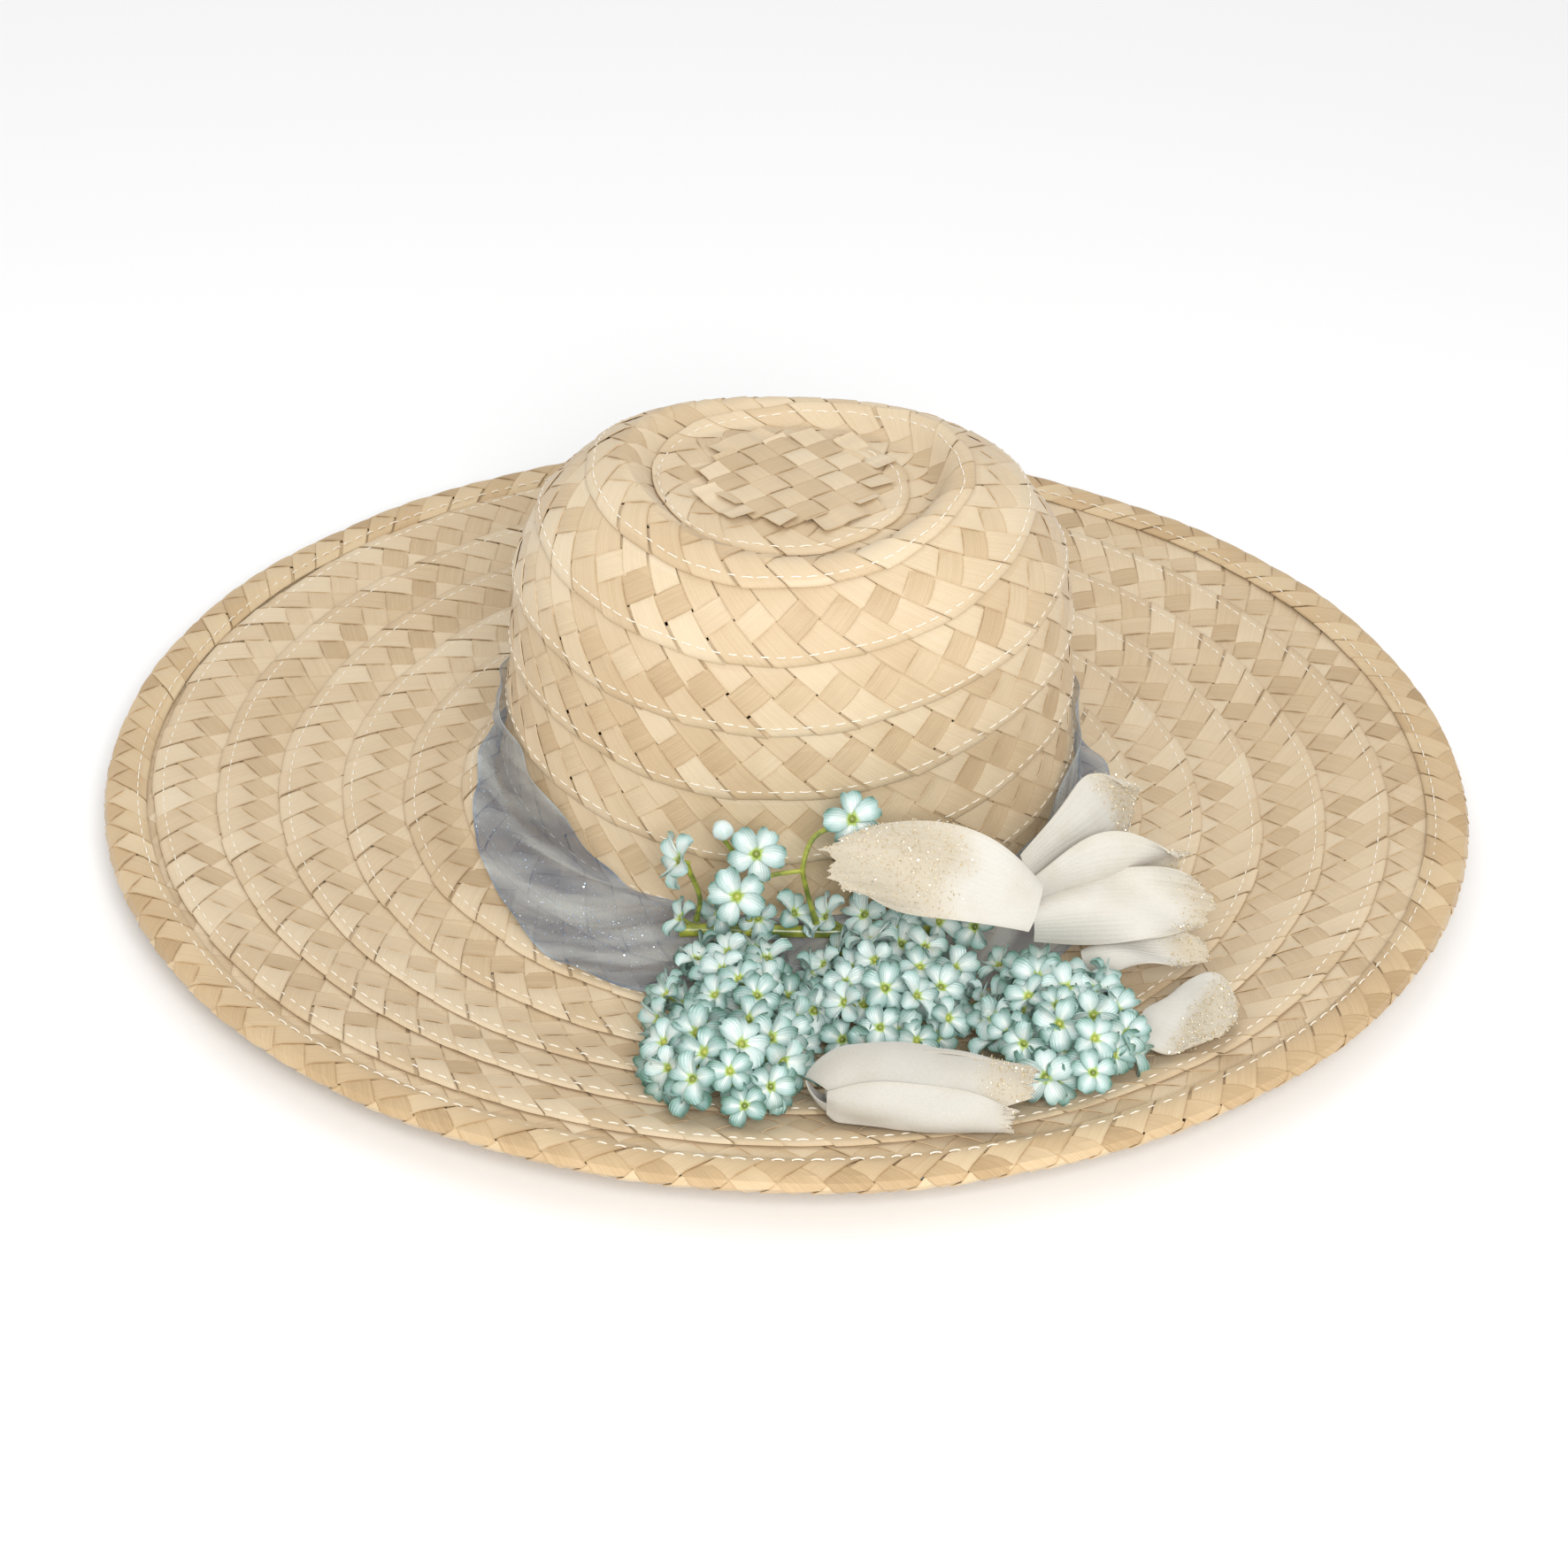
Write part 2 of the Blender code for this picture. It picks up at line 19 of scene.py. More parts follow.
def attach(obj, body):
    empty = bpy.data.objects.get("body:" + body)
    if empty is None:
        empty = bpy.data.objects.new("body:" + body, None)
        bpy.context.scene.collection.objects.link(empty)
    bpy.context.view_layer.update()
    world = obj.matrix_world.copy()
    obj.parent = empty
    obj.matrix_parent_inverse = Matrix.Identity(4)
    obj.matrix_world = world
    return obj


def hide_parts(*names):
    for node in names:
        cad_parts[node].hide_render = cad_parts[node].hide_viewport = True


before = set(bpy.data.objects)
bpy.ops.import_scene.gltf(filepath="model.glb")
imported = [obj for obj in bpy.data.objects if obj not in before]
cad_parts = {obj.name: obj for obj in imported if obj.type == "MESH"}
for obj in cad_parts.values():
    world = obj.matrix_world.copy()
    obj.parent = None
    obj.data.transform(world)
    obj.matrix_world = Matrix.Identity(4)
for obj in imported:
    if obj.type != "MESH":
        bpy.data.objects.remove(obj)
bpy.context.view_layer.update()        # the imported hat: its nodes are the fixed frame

BODY = "root"
log = logging.getLogger("sun_hat")
Points = np.ndarray
TURN = 2.0 * math.pi


class Hold(str, Enum):
    """How a piece of cloth is held on the hat."""

    LAID = "laid"
    FOLDED = "folded"


def srgb(red: int, green: int, blue: int) -> tuple[float, float, float, float]:
    """Turn a screen colour, 0 to 255, into the linear colour that a shader takes.

    Args:
        red: Red, 0 to 255.
        green: Green, 0 to 255.
        blue: Blue, 0 to 255.

    Returns:
        The linear colour with an alpha of 1.
    """
    parts = [value / 255.0 for value in (red, green, blue)]
    linear = [p / 12.92 if p <= 0.04045 else ((p + 0.055) / 1.055) ** 2.4 for p in parts]
    return (*linear, 1.0)


# ---------------------------------------------------------------- node trees
class Wire:
    """A value in a node tree, with the arithmetic that the finishes use."""

    def __init__(self, board: "Board", socket: bpy.types.NodeSocket) -> None:
        """Wrap an output socket of a board's tree."""
        self.board, self.socket = board, socket

    def _math(self, operation: str, first: object, second: object = 0.0, third: object = 0.0) -> "Wire":
        """Add a Math node for an operation on up to three values."""
        return self.board.node("ShaderNodeMath", {"operation": operation}, {0: first, 1: second, 2: third})

    def __add__(self, other: object) -> "Wire":
        """Add."""
        return self._math("ADD", self, other)

    __radd__ = __add__

    def __sub__(self, other: object) -> "Wire":
        """Subtract."""
        return self._math("SUBTRACT", self, other)

    def __rsub__(self, other: object) -> "Wire":
        """Subtract this from a number."""
        return self._math("SUBTRACT", other, self)

    def __mul__(self, other: object) -> "Wire":
        """Multiply."""
        return self._math("MULTIPLY", self, other)

    __rmul__ = __mul__

    def __truediv__(self, other: object) -> "Wire":
        """Divide."""
        return self._math("DIVIDE", self, other)

    def __pow__(self, other: object) -> "Wire":
        """Raise to a power."""
        return self._math("POWER", self, other)

    def __abs__(self) -> "Wire":
        """Drop the sign."""
        return self._math("ABSOLUTE", self)

    def sine(self) -> "Wire":
        """Return the sine."""
        return self._math("SINE", self)

    def floor(self) -> "Wire":
        """Round down."""
        return self._math("FLOOR", self)

    def larger(self, other: object) -> "Wire":
        """Return the larger of this and another value."""
        return self._math("MAXIMUM", self, other)

    def smaller(self, other: object) -> "Wire":
        """Return the smaller of this and another value."""
        return self._math("MINIMUM", self, other)

    def step(self, low: float, high: float) -> "Wire":
        """Return a smooth step from 0 to 1.

        Args:
            low: Where the step starts.
            high: Where the step ends.

        Returns:
            A value from 0 to 1.
        """
        return self.board.node("ShaderNodeMapRange", {"interpolation_type": "SMOOTHSTEP", "clamp": True},
                               {"Value": self, "From Min": low, "From Max": high})


class Board:
    """A node tree that is filled from a few lines: every node comes from its node method."""

    def __init__(self, tree: bpy.types.NodeTree) -> None:
        """Start on a tree."""
        self.tree = tree

    def node(self, kind: str, settings: dict[str, object] | None = None,
             sockets: dict[int | str, object] | None = None, out: int | str = 0) -> Wire:
        """Add a node, set it up and wire its sockets.

        Args:
            kind: The node's type.
            settings: The node's own properties, set first.
            sockets: Values or wires for the inputs, by name or place.
            out: The output that is wanted, by name or place.

        Returns:
            The wanted output.
        """
        made = self.tree.nodes.new(kind)
        for key, value in (settings or {}).items():
            setattr(made, key, value)
        for key, value in (sockets or {}).items():
            if isinstance(value, Wire):
                self.tree.links.new(value.socket, made.inputs[key])
            else:
                made.inputs[key].default_value = value
        return Wire(self, made.outputs[out]) if made.outputs else Wire(self, None)


class Paint(Board):
    """A procedural material around one Principled shader."""

    def __init__(self, name: str, **constants: float) -> None:
        """Make the material.

        Args:
            name: The material's name.
            constants: Numbers for the shader's own sockets, with _ for a space.
        """
        self.material = bpy.data.materials.new(name)
        self.material.use_nodes = True
        super().__init__(self.material.node_tree)
        self.shader = self.tree.nodes["Principled BSDF"]
        for key, value in constants.items():
            self.shader.inputs[key.replace("_", " ")].default_value = value

    def attribute(self, name: str) -> Wire:
        """Return a number that the piece's mesh carries."""
        return self.node("ShaderNodeAttribute", {"attribute_name": name}, out="Fac")

    def place(self) -> Wire:
        """Return the point's place on the object."""
        return self.node("ShaderNodeTexCoord", out="Object")

    def vector(self, x: object, y: object, z: object) -> Wire:
        """Join three values."""
        return self.node("ShaderNodeCombineXYZ", None, {0: x, 1: y, 2: z})

    def noise(self, where: Wire, scale: float, detail: float = 2.0) -> Wire:
        """Return smooth noise.

        Args:
            where: The place that the noise is read at.
            scale: Bumps per unit.
            detail: Octaves of finer noise.

        Returns:
            The noise, about 0.5 on average.
        """
        return self.node("ShaderNodeTexNoise", None, {"Vector": where, "Scale": scale, "Detail": detail})

    def mix(self, share: object, first: object, second: object) -> Wire:
        """Mix two colours.

        Args:
            share: How much of the second colour, 0 to 1.
            first: A colour or a wire.
            second: A colour or a wire.

        Returns:
            The mixed colour.
        """
        return self.node("ShaderNodeMix", {"data_type": "RGBA"}, {0: share, 6: first, 7: second}, out=2)

    def ramp(self, share: Wire, stops: list[tuple[float, tuple[float, ...]]]) -> Wire:
        """Run a value through colour stops.

        Args:
            share: The value, 0 to 1.
            stops: (place, colour) pairs.

        Returns:
            The colour.
        """
        made = self.node("ShaderNodeValToRGB", None, {0: share})
        band = made.socket.node.color_ramp
        while len(band.elements) < len(stops):
            band.elements.new(0.5)
        for element, (where, colour) in zip(band.elements, stops):
            element.position, element.color = where, colour
        return made

    def bump(self, height: Wire, distance: float, strength: float = 1.0) -> Wire:
        """Return a normal bumped by a height in units of distance."""
        return self.node("ShaderNodeBump", None,
                         {"Height": height, "Distance": distance, "Strength": strength})

    def feed(self, **wires: Wire) -> bpy.types.Material:
        """Link wires to the shader's sockets.

        Args:
            wires: A wire for each socket, with _ for a space.

        Returns:
            The finished material.
        """
        for key, wire in wires.items():
            self.tree.links.new(wire.socket, self.shader.inputs[key.replace("_", " ")])
        return self.material


class Grower(Board):
    """A geometry node tree with named inputs, which turns a host mesh into a finished mesh."""

    def __init__(self, name: str, inputs: dict[str, tuple[str, object]]) -> None:
        """Start a tree.

        Args:
            name: The tree's name.
            inputs: For each named input its socket type and default value.
        """
        super().__init__(bpy.data.node_groups.new(name, "GeometryNodeTree"))
        self.tree.interface.new_socket("Geometry", in_out="INPUT", socket_type="NodeSocketGeometry")
        self.identifiers = {}
        for label, (kind, value) in {**inputs, "Finish": ("NodeSocketMaterial", None)}.items():
            socket = self.tree.interface.new_socket(label, in_out="INPUT", socket_type=kind)
            if value is not None:
                socket.default_value = value
            self.identifiers[label] = socket.identifier
        self.tree.interface.new_socket("Geometry", in_out="OUTPUT", socket_type="NodeSocketGeometry")
        self.given = self.tree.nodes.new("NodeGroupInput")

    def input(self, label: str) -> Wire:
        """Return a named input of the tree."""
        return Wire(self, self.given.outputs[label])

    def named(self, name: str, kind: str = "FLOAT") -> Wire:
        """Return an attribute that the geometry carries."""
        return self.node("GeometryNodeInputNamedAttribute", {"data_type": kind}, {"Name": name})

    def chance(self, low: object, high: object, seed: object) -> Wire:
        """Return a random number for each element.

        Args:
            low: The smallest value.
            high: The largest value.
            seed: The seed.

        Returns:
            The number.
        """
        return self.node("FunctionNodeRandomValue", {"data_type": "FLOAT"}, {2: low, 3: high, 8: seed}, out=1)

    def close(self, geometry: Wire, smooth: bool = True) -> None:
        """End the tree in real geometry with the finish set.

        Args:
            geometry: The instances or mesh.
            smooth: Whether the faces are shaded smooth.
        """
        real = self.node("GeometryNodeRealizeInstances", None, {0: geometry})
        shaded = self.node("GeometryNodeSetShadeSmooth", None, {"Geometry": real, "Shade Smooth": smooth})
        dressed = self.node("GeometryNodeSetMaterial", None,
                            {"Geometry": shaded, "Material": self.input("Finish")})
        self.node("NodeGroupOutput", None, {0: dressed})

    def grow(self, name: str, host: bpy.types.Mesh, values: dict[str, object],
             sharp: float | None = None) -> bpy.types.Object:
        """Run the tree on a host mesh.

        Args:
            name: The finished piece's name.
            host: The mesh that the tree starts from.
            values: Values for the tree's named inputs.
            sharp: The angle in degrees past which an edge stays sharp.

        Returns:
            A plain mesh object at the origin.
        """
        obj = bpy.data.objects.new(name, host)
        modifier = obj.modifiers.new("grow", "NODES")
        modifier.node_group = self.tree
        for label, value in values.items():
            modifier[self.identifiers[label]] = value
        bpy.context.scene.collection.objects.link(obj)
        graph = bpy.context.evaluated_depsgraph_get()
        mesh = bpy.data.meshes.new_from_object(obj.evaluated_get(graph), preserve_all_data_layers=True,
                                               depsgraph=graph)
        obj.modifiers.remove(modifier)
        obj.data = mesh
        mesh.name = name
        if sharp is not None:
            mesh.set_sharp_from_angle(angle=math.radians(sharp))
        return obj


# ---------------------------------------------------------------- mesh helpers
def mesh_of(name: str, points: Points, faces: list, edges: list | None = None,
            **attributes: Points) -> bpy.types.Mesh:
    """Make a mesh that carries numbers or vectors on its points.

    Args:
        name: The mesh's name.
        points: The vertices, n by 3.
        faces: Vertex numbers of each face.
        edges: Vertex numbers of loose edges.
        attributes: n numbers, or n by 3 vectors, for each attribute.

    Returns:
        The mesh.
    """
    mesh = bpy.data.meshes.new(name)
    mesh.from_pydata(np.asarray(points, float).tolist(), edges or [], faces)
    for key, values in attributes.items():
        values = np.asarray(values, np.float32)
        kind, field = ("FLOAT_VECTOR", "vector") if values.ndim == 2 else ("FLOAT", "value")
        mesh.attributes.new(key, kind, "POINT").data.foreach_set(field, values.ravel())
    mesh.update()
    return mesh


def put(name: str, mesh: bpy.types.Mesh, finish: bpy.types.Material, sharp: float = 40.0) -> bpy.types.Object:
    """Link an object of a mesh with a finish, shaded smooth up to an angle.

    Args:
        name: The object's name.
        mesh: Its mesh.
        finish: Its material.
        sharp: The angle in degrees past which an edge stays sharp.

    Returns:
        The object.
    """
    obj = bpy.data.objects.new(name, mesh)
    bpy.context.scene.collection.objects.link(obj)
    mesh.materials.append(finish)
    mesh.shade_smooth()
    mesh.set_sharp_from_angle(angle=math.radians(sharp))
    return obj


def settle(obj: bpy.types.Object, slot: str, *nodes: str) -> bpy.types.Object:
    """Hand a finished piece to the frame and report it.

    Args:
        obj: The piece.
        slot: Not used.
        nodes: The CAD nodes that it stands for.

    Returns:
        The piece.
    """
    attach(obj, BODY)
    if nodes:
        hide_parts(*nodes)
    log.info("%s: %d faces", obj.name, len(obj.data.polygons))
    return obj


def outward(mesh: bpy.types.Mesh) -> bpy.types.Mesh:
    """Turn the faces of closed shells outwards."""
    bm = bmesh.new()
    bm.from_mesh(mesh)
    bmesh.ops.recalc_face_normals(bm, faces=bm.faces)
    bm.to_mesh(mesh)
    bm.free()
    return mesh


def cloth_shell(name: str, grid: Points, thickness: float, closed: bool = False,
                **attributes: Points) -> bpy.types.Mesh:
    """Give a grid of points the thickness of cloth, as one closed shell.

    Args:
        name: The mesh's name.
        grid: Points along by across by 3.
        thickness: The cloth's thickness.
        closed: Whether the last row joins the first.
        attributes: Numbers on the grid, along by across.

    Returns:
        The shell, which also carries "along" and "across", both 0 to 1.
    """
    along, across = grid.shape[:2]
    ahead = np.roll(grid, -1, 0) - np.roll(grid, 1, 0) if closed else np.gradient(grid, axis=0)
    normal = np.cross(ahead, np.gradient(grid, axis=1))
    normal /= np.linalg.norm(normal, axis=2, keepdims=True) + 1e-12
    points = np.concatenate([(grid + normal * thickness / 2).reshape(-1, 3),
                             (grid - normal * thickness / 2).reshape(-1, 3)])
    size = along * across

    def number(i: int, k: int) -> int:
        """Return the vertex number of grid place i, k."""
        return (i % along) * across + k

    rows = along if closed else along - 1
    faces = []
    for i in range(rows):
        for k in range(across - 1):
            quad = [number(i, k), number(i + 1, k), number(i + 1, k + 1), number(i, k + 1)]
            faces += [quad, [n + size for n in reversed(quad)]]
    border = [(number(i, 0), number(i + 1, 0)) for i in range(rows)]
    border += [(number(i + 1, across - 1), number(i, across - 1)) for i in range(rows)]
    if not closed:
        border += [(number(0, k + 1), number(0, k)) for k in range(across - 1)]
        border += [(number(along - 1, k), number(along - 1, k + 1)) for k in range(across - 1)]
    faces += [[b, a, a + size, b + size] for a, b in border]
    share_along, share_across = np.meshgrid(
        np.linspace(0, 1, along), np.linspace(0, 1, across), indexing="ij")
    attributes = {"along": share_along, "across": share_across, **attributes}
    doubled = {key: np.tile(np.asarray(value).ravel(), 2) for key, value in attributes.items()}
    return outward(mesh_of(name, points, faces, **doubled))


def tube(name: str, knots: list[tuple[float, float, float]], radius: float, sides: int = 8,
         per_knot: int = 7, swell: float = 0.0) -> bpy.types.Mesh:
    """Sweep a round wire through knots, with closed ends.

    Args:
        name: The mesh's name.
        knots: Points that the wire's middle passes through.
        radius: The wire's radius.
        sides: Facets around.
        per_knot: Rings for each stretch between knots.
        swell: How much thicker the wire is at both ends, as a share.

    Returns:
        The mesh, which carries "along" and "across".
    """
    knots = np.array(knots, float)
    spread = np.vstack([2 * knots[0] - knots[1], knots, 2 * knots[-1] - knots[-2]])
    line = []
    for i in range(len(knots) - 1):
        p0, p1, p2, p3 = spread[i:i + 4]
        for t in np.linspace(0, 1, per_knot, endpoint=i == len(knots) - 2):
            line.append(0.5 * (2 * p1 + (p2 - p0) * t + (2 * p0 - 5 * p1 + 4 * p2 - p3) * t * t
                               + (3 * p1 - p0 - 3 * p2 + p3) * t ** 3))
    line = np.array(line)
    points, along, across = [], [], []
    side = np.cross(line[1] - line[0], (0.3, 0.2, 1.0))
    for i, middle in enumerate(line):
        ahead = line[min(i + 1, len(line) - 1)] - line[max(i - 1, 0)]
        ahead /= np.linalg.norm(ahead)
        side = side - ahead * side.dot(ahead)
        side /= np.linalg.norm(side)
        other = np.cross(ahead, side)
        share = i / (len(line) - 1)
        reach = radius * (1 + swell * abs(2 * share - 1) ** 6)
        for n in range(sides):
            angle = TURN * n / sides
            points.append(middle + reach * (side * math.cos(angle) + other * math.sin(angle)))
            along.append(share)
            across.append(n / sides)
    faces = []
    for i in range(len(line) - 1):
        for n in range(sides):
            after = (n + 1) % sides
            faces.append([i * sides + n, i * sides + after, (i + 1) * sides + after, (i + 1) * sides + n])
    faces += [list(range(sides)), list(range((len(line) - 1) * sides, len(line) * sides))]
    return outward(mesh_of(name, np.array(points), faces, along=along, across=across))


# ---------------------------------------------------------------- finishes
@dataclass(frozen=True)
class StrawFinish:
    """Dried palm leaf, split into flat strips: pale and tan strips with fine lengthwise veins."""

    name: str = "straw"
    pale: tuple[int, int, int] = (227, 212, 187)
    middle: tuple[int, int, int] = (214, 195, 164)
    tan: tuple[int, int, int] = (199, 175, 140)
    dark: tuple[int, int, int] = (176, 149, 112)
    roughness: float = 0.50

    def paint(self) -> bpy.types.Material:
        """Build the material; it reads the tone and the place along and across each strip."""
        p = Paint(self.name, Specular_IOR_Level=0.42, Sheen_Weight=0.12, Sheen_Roughness=0.4)
        tone, leg = p.attribute("tone"), p.attribute("leg")
        along, across = p.attribute("along"), p.attribute("across")
        cell = p.node("ShaderNodeTexWhiteNoise", {"noise_dimensions": "2D"},
                      {"Vector": p.vector(tone * 91.0, (along * 93.0).floor(), 0.0)})
        veins = p.noise(p.vector(across * 7.0, along * 16.0, tone * 53.0), 2.2, 4.0)
        blotch = p.noise(p.place(), 21.0, 3.0)
        lines = (across * 40.0 + veins * 5.0).sine() * 0.5 + 0.5
        shade = tone * 0.28 + leg * 0.13 + cell * 0.12 + veins * 0.38 + blotch * 0.32 - 0.205
        # each strip is painted darker towards its side edges: partly browned leaf edge, partly painted shade
        # where the strips meet and tuck under one another
        edge = abs(across).step(0.86, 1.0)
        colour = p.ramp(shade - edge * 0.16 - lines * 0.05, [
            (0.02, srgb(*self.dark)), (0.30, srgb(*self.tan)),
            (0.58, srgb(*self.middle)), (0.92, srgb(*self.pale))])
        fleck = p.noise(p.vector(across * 3.0, along * 60.0, tone * 31.0), 3.0, 3.0).step(0.72, 0.80)
        colour = p.mix(fleck * 0.45, colour, srgb(150, 112, 70))
        height = veins * 0.6 + lines * 0.25
        return p.feed(Base_Color=colour, Roughness=veins * 0.30 + (self.roughness - 0.15),
                      Normal=p.bump(height, 0.00016, 0.7))


@dataclass(frozen=True)
class ThreadFinish:
    """Clear sewing thread."""

    name: str = "clear_thread"

    def paint(self) -> bpy.types.Material:
        """Build the material."""
        p = Paint(self.name, Specular_IOR_Level=0.6)
        shade = p.noise(p.place(), 900.0, 1.0)
        return p.feed(Base_Color=p.mix(shade, srgb(226, 214, 192), srgb(250, 245, 234)),
                      Roughness=shade * 0.2 + 0.18)


@dataclass(frozen=True)
class OrganzaFinish:
    """Sheer blue-grey organza with a faint shot of blue and a finely drawn weave."""

    name: str = "organza"

    def paint(self) -> bpy.types.Material:
        """Build the material; along is 0 to 1 round the band and across 0 to 1 over its width."""
        p = Paint(self.name, Specular_IOR_Level=0.7, Sheen_Weight=0.35, Sheen_Roughness=0.35,
                  Sheen_Tint=srgb(196, 214, 236))
        along, across = p.attribute("along"), p.attribute("across")
        flow = p.noise(p.vector(along * 34.0 + across * 3.2, across * 1.4, 0.0), 1.0, 3.0)
        weave = ((across * 620.0).sine() * (along * 8400.0).sine()) * 0.5 + 0.5
        selvedge = abs(across - 0.5).step(0.470, 0.492)
        colour = p.mix(flow.step(0.38, 0.66), srgb(86, 114, 144), srgb(188, 197, 200))
        alpha = flow * 0.30 + weave * 0.06 + selvedge * 0.20 + 0.14
        return p.feed(Base_Color=colour, Alpha=alpha, Roughness=flow * 0.25 + 0.22,
                      Normal=p.bump(flow * 4.0 + weave * 0.2, 0.0006, 0.5))


@dataclass(frozen=True)
class SatinFinish:
    """Printed satin of the small blossoms: white star, pale blue-grey lobes and teal margins."""

    name: str = "blossom_satin"

    def paint(self) -> bpy.types.Material:
        """Build the material; along runs from the eye to the lobes, across from side to side."""
        p = Paint(self.name, Specular_IOR_Level=0.6, Sheen_Weight=0.25, Sheen_Roughness=0.3)
        along, across, tone = p.attribute("along"), p.attribute("across"), p.attribute("tone")
        cloud = p.noise(p.place(), 190.0, 3.0)
        # a higher tone paints a blossom darker towards its teal; the lower blossoms carry a raised tone,
        # which is painted shade under the upper layer
        margin = abs(across) ** 2.0 * 0.42 + along ** 3.0 * 0.50 + cloud * 0.50 + tone * 0.38 - 0.34
        lobes = p.ramp(margin, [(0.12, srgb(206, 220, 216)), (0.36, srgb(172, 196, 191)),
                                (0.62, srgb(130, 165, 156)), (0.90, srgb(80, 118, 103))])
        star = (1.0 - abs(across).step(0.03, 0.32)) * (1.0 - along.step(0.26, 0.74))
        colour = p.mix(star.smaller(1.0) * 0.82, lobes, srgb(232, 237, 228))
        colour = p.mix(1.0 - along.step(0.07, 0.20), colour, srgb(176, 200, 104))
        threads = (across * 26.0).sine() * 0.5 + 0.5
        return p.feed(Base_Color=colour, Roughness=cloud * 0.22 + 0.26,
                      Normal=p.bump(threads * 0.5 + cloud, 0.00035, 0.55))


@dataclass(frozen=True)
class GreenFinish:
    """Yellow-green plastic of the stems and of the blossoms' eyes."""

    name: str = "stem_wrap"
    light: tuple[int, int, int] = (170, 175, 66)
    dark: tuple[int, int, int] = (94, 110, 40)

    def paint(self) -> bpy.types.Material:
        """Build the material."""
        p = Paint(self.name, Specular_IOR_Level=0.6, Coat_Weight=0.25, Coat_Roughness=0.2)
        mottle = p.noise(p.place(), 160.0, 3.0)
        return p.feed(Base_Color=p.mix(mottle.step(0.3, 0.7), srgb(*self.dark), srgb(*self.light)),
                      Roughness=mottle * 0.2 + 0.28, Normal=p.bump(mottle, 0.0003, 0.5))


@dataclass(frozen=True)
class PetalClothFinish:
    """Cream velveteen of the big petals, with fine pressed pleats and a warmer, soiled edge."""

    name: str = "petal_cloth"
    cream: tuple[int, int, int] = (204, 200, 190)
    warm: tuple[int, int, int] = (189, 181, 163)
    pleats: float = 110.0

    def paint(self) -> bpy.types.Material:
        """Build the material; glue is where the glitter was laid."""
        p = Paint(self.name, Specular_IOR_Level=0.22, Sheen_Weight=0.35, Sheen_Roughness=0.5)
        along, across, glue = p.attribute("along"), p.attribute("across"), p.attribute("glue")
        cloud = p.noise(p.place(), 46.0, 4.0)
        nap = p.noise(p.place(), 1500.0, 2.0)
        lines = (across * self.pleats + cloud * 4.0).sine() * 0.5 + 0.5
        edge = abs(across - 0.5).step(0.42, 0.5).larger(along.step(0.90, 1.0))
        colour = p.mix(cloud.step(0.42, 0.72) * 0.55 + edge * 0.30, srgb(*self.cream), srgb(*self.warm))
        colour = p.mix(glue * 0.70, colour, srgb(180, 164, 134))
        colour = p.mix(nap * 0.18, colour, srgb(255, 252, 244))
        return p.feed(Base_Color=colour, Roughness=nap * 0.15 + 0.74,
                      Normal=p.bump(lines * 0.14 + nap * 0.25 + cloud, 0.0005, 0.6))


@dataclass(frozen=True)
class GlitterFinish:
    """Flakes of pale gold or blue-white glitter."""

    name: str = "glitter"
    light: tuple[int, int, int] = (250, 244, 226)
    dark: tuple[int, int, int] = (202, 180, 134)

    def paint(self) -> bpy.types.Material:
        """Build the material."""
        p = Paint(self.name, Coat_Weight=0.5, Coat_Roughness=0.08)
        shade = p.noise(p.place(), 1400.0, 1.0).step(0.40, 0.60)
        return p.feed(Base_Color=p.mix(shade, srgb(*self.dark), srgb(*self.light)),
                      Metallic=shade * 0.5 + 0.2, Roughness=0.42 - shade * 0.25)


@dataclass(frozen=True)
class SteelFinish:
    """Drawn steel wire."""

    name: str = "rim_wire_steel"

    def paint(self) -> bpy.types.Material:
        """Build the material."""
        p = Paint(self.name, Metallic=1.0)
        scratch = p.noise(p.place(), 300.0, 3.0)
        return p.feed(Base_Color=p.mix(scratch, srgb(120, 118, 114), srgb(176, 174, 170)),
                      Roughness=scratch * 0.3 + 0.2)


@dataclass(frozen=True)
class FloorFinish:
    """Plain pale floor."""

    name: str = "pale_floor"

    def paint(self) -> bpy.types.Material:
        """Build the material."""
        p = Paint(self.name, Roughness=0.9, Specular_IOR_Level=0.1)
        cloud = p.noise(p.place(), 1.3, 2.0)
        return p.feed(Base_Color=p.mix(cloud, srgb(249, 249, 249), srgb(253, 253, 253)))


# ---------------------------------------------------------------- the blocked shape of the hat
def heading(theta: Points) -> Points:
    """Return level unit vectors from the middle towards theta."""
    return np.stack([-np.sin(theta), -np.cos(theta), np.zeros_like(theta)], -1)


def ease(share: Points) -> Points:
    """Return a smooth step from 0 to 1."""
    return 0.5 - 0.5 * np.cos(np.pi * np.clip(share, 0.0, 1.0))


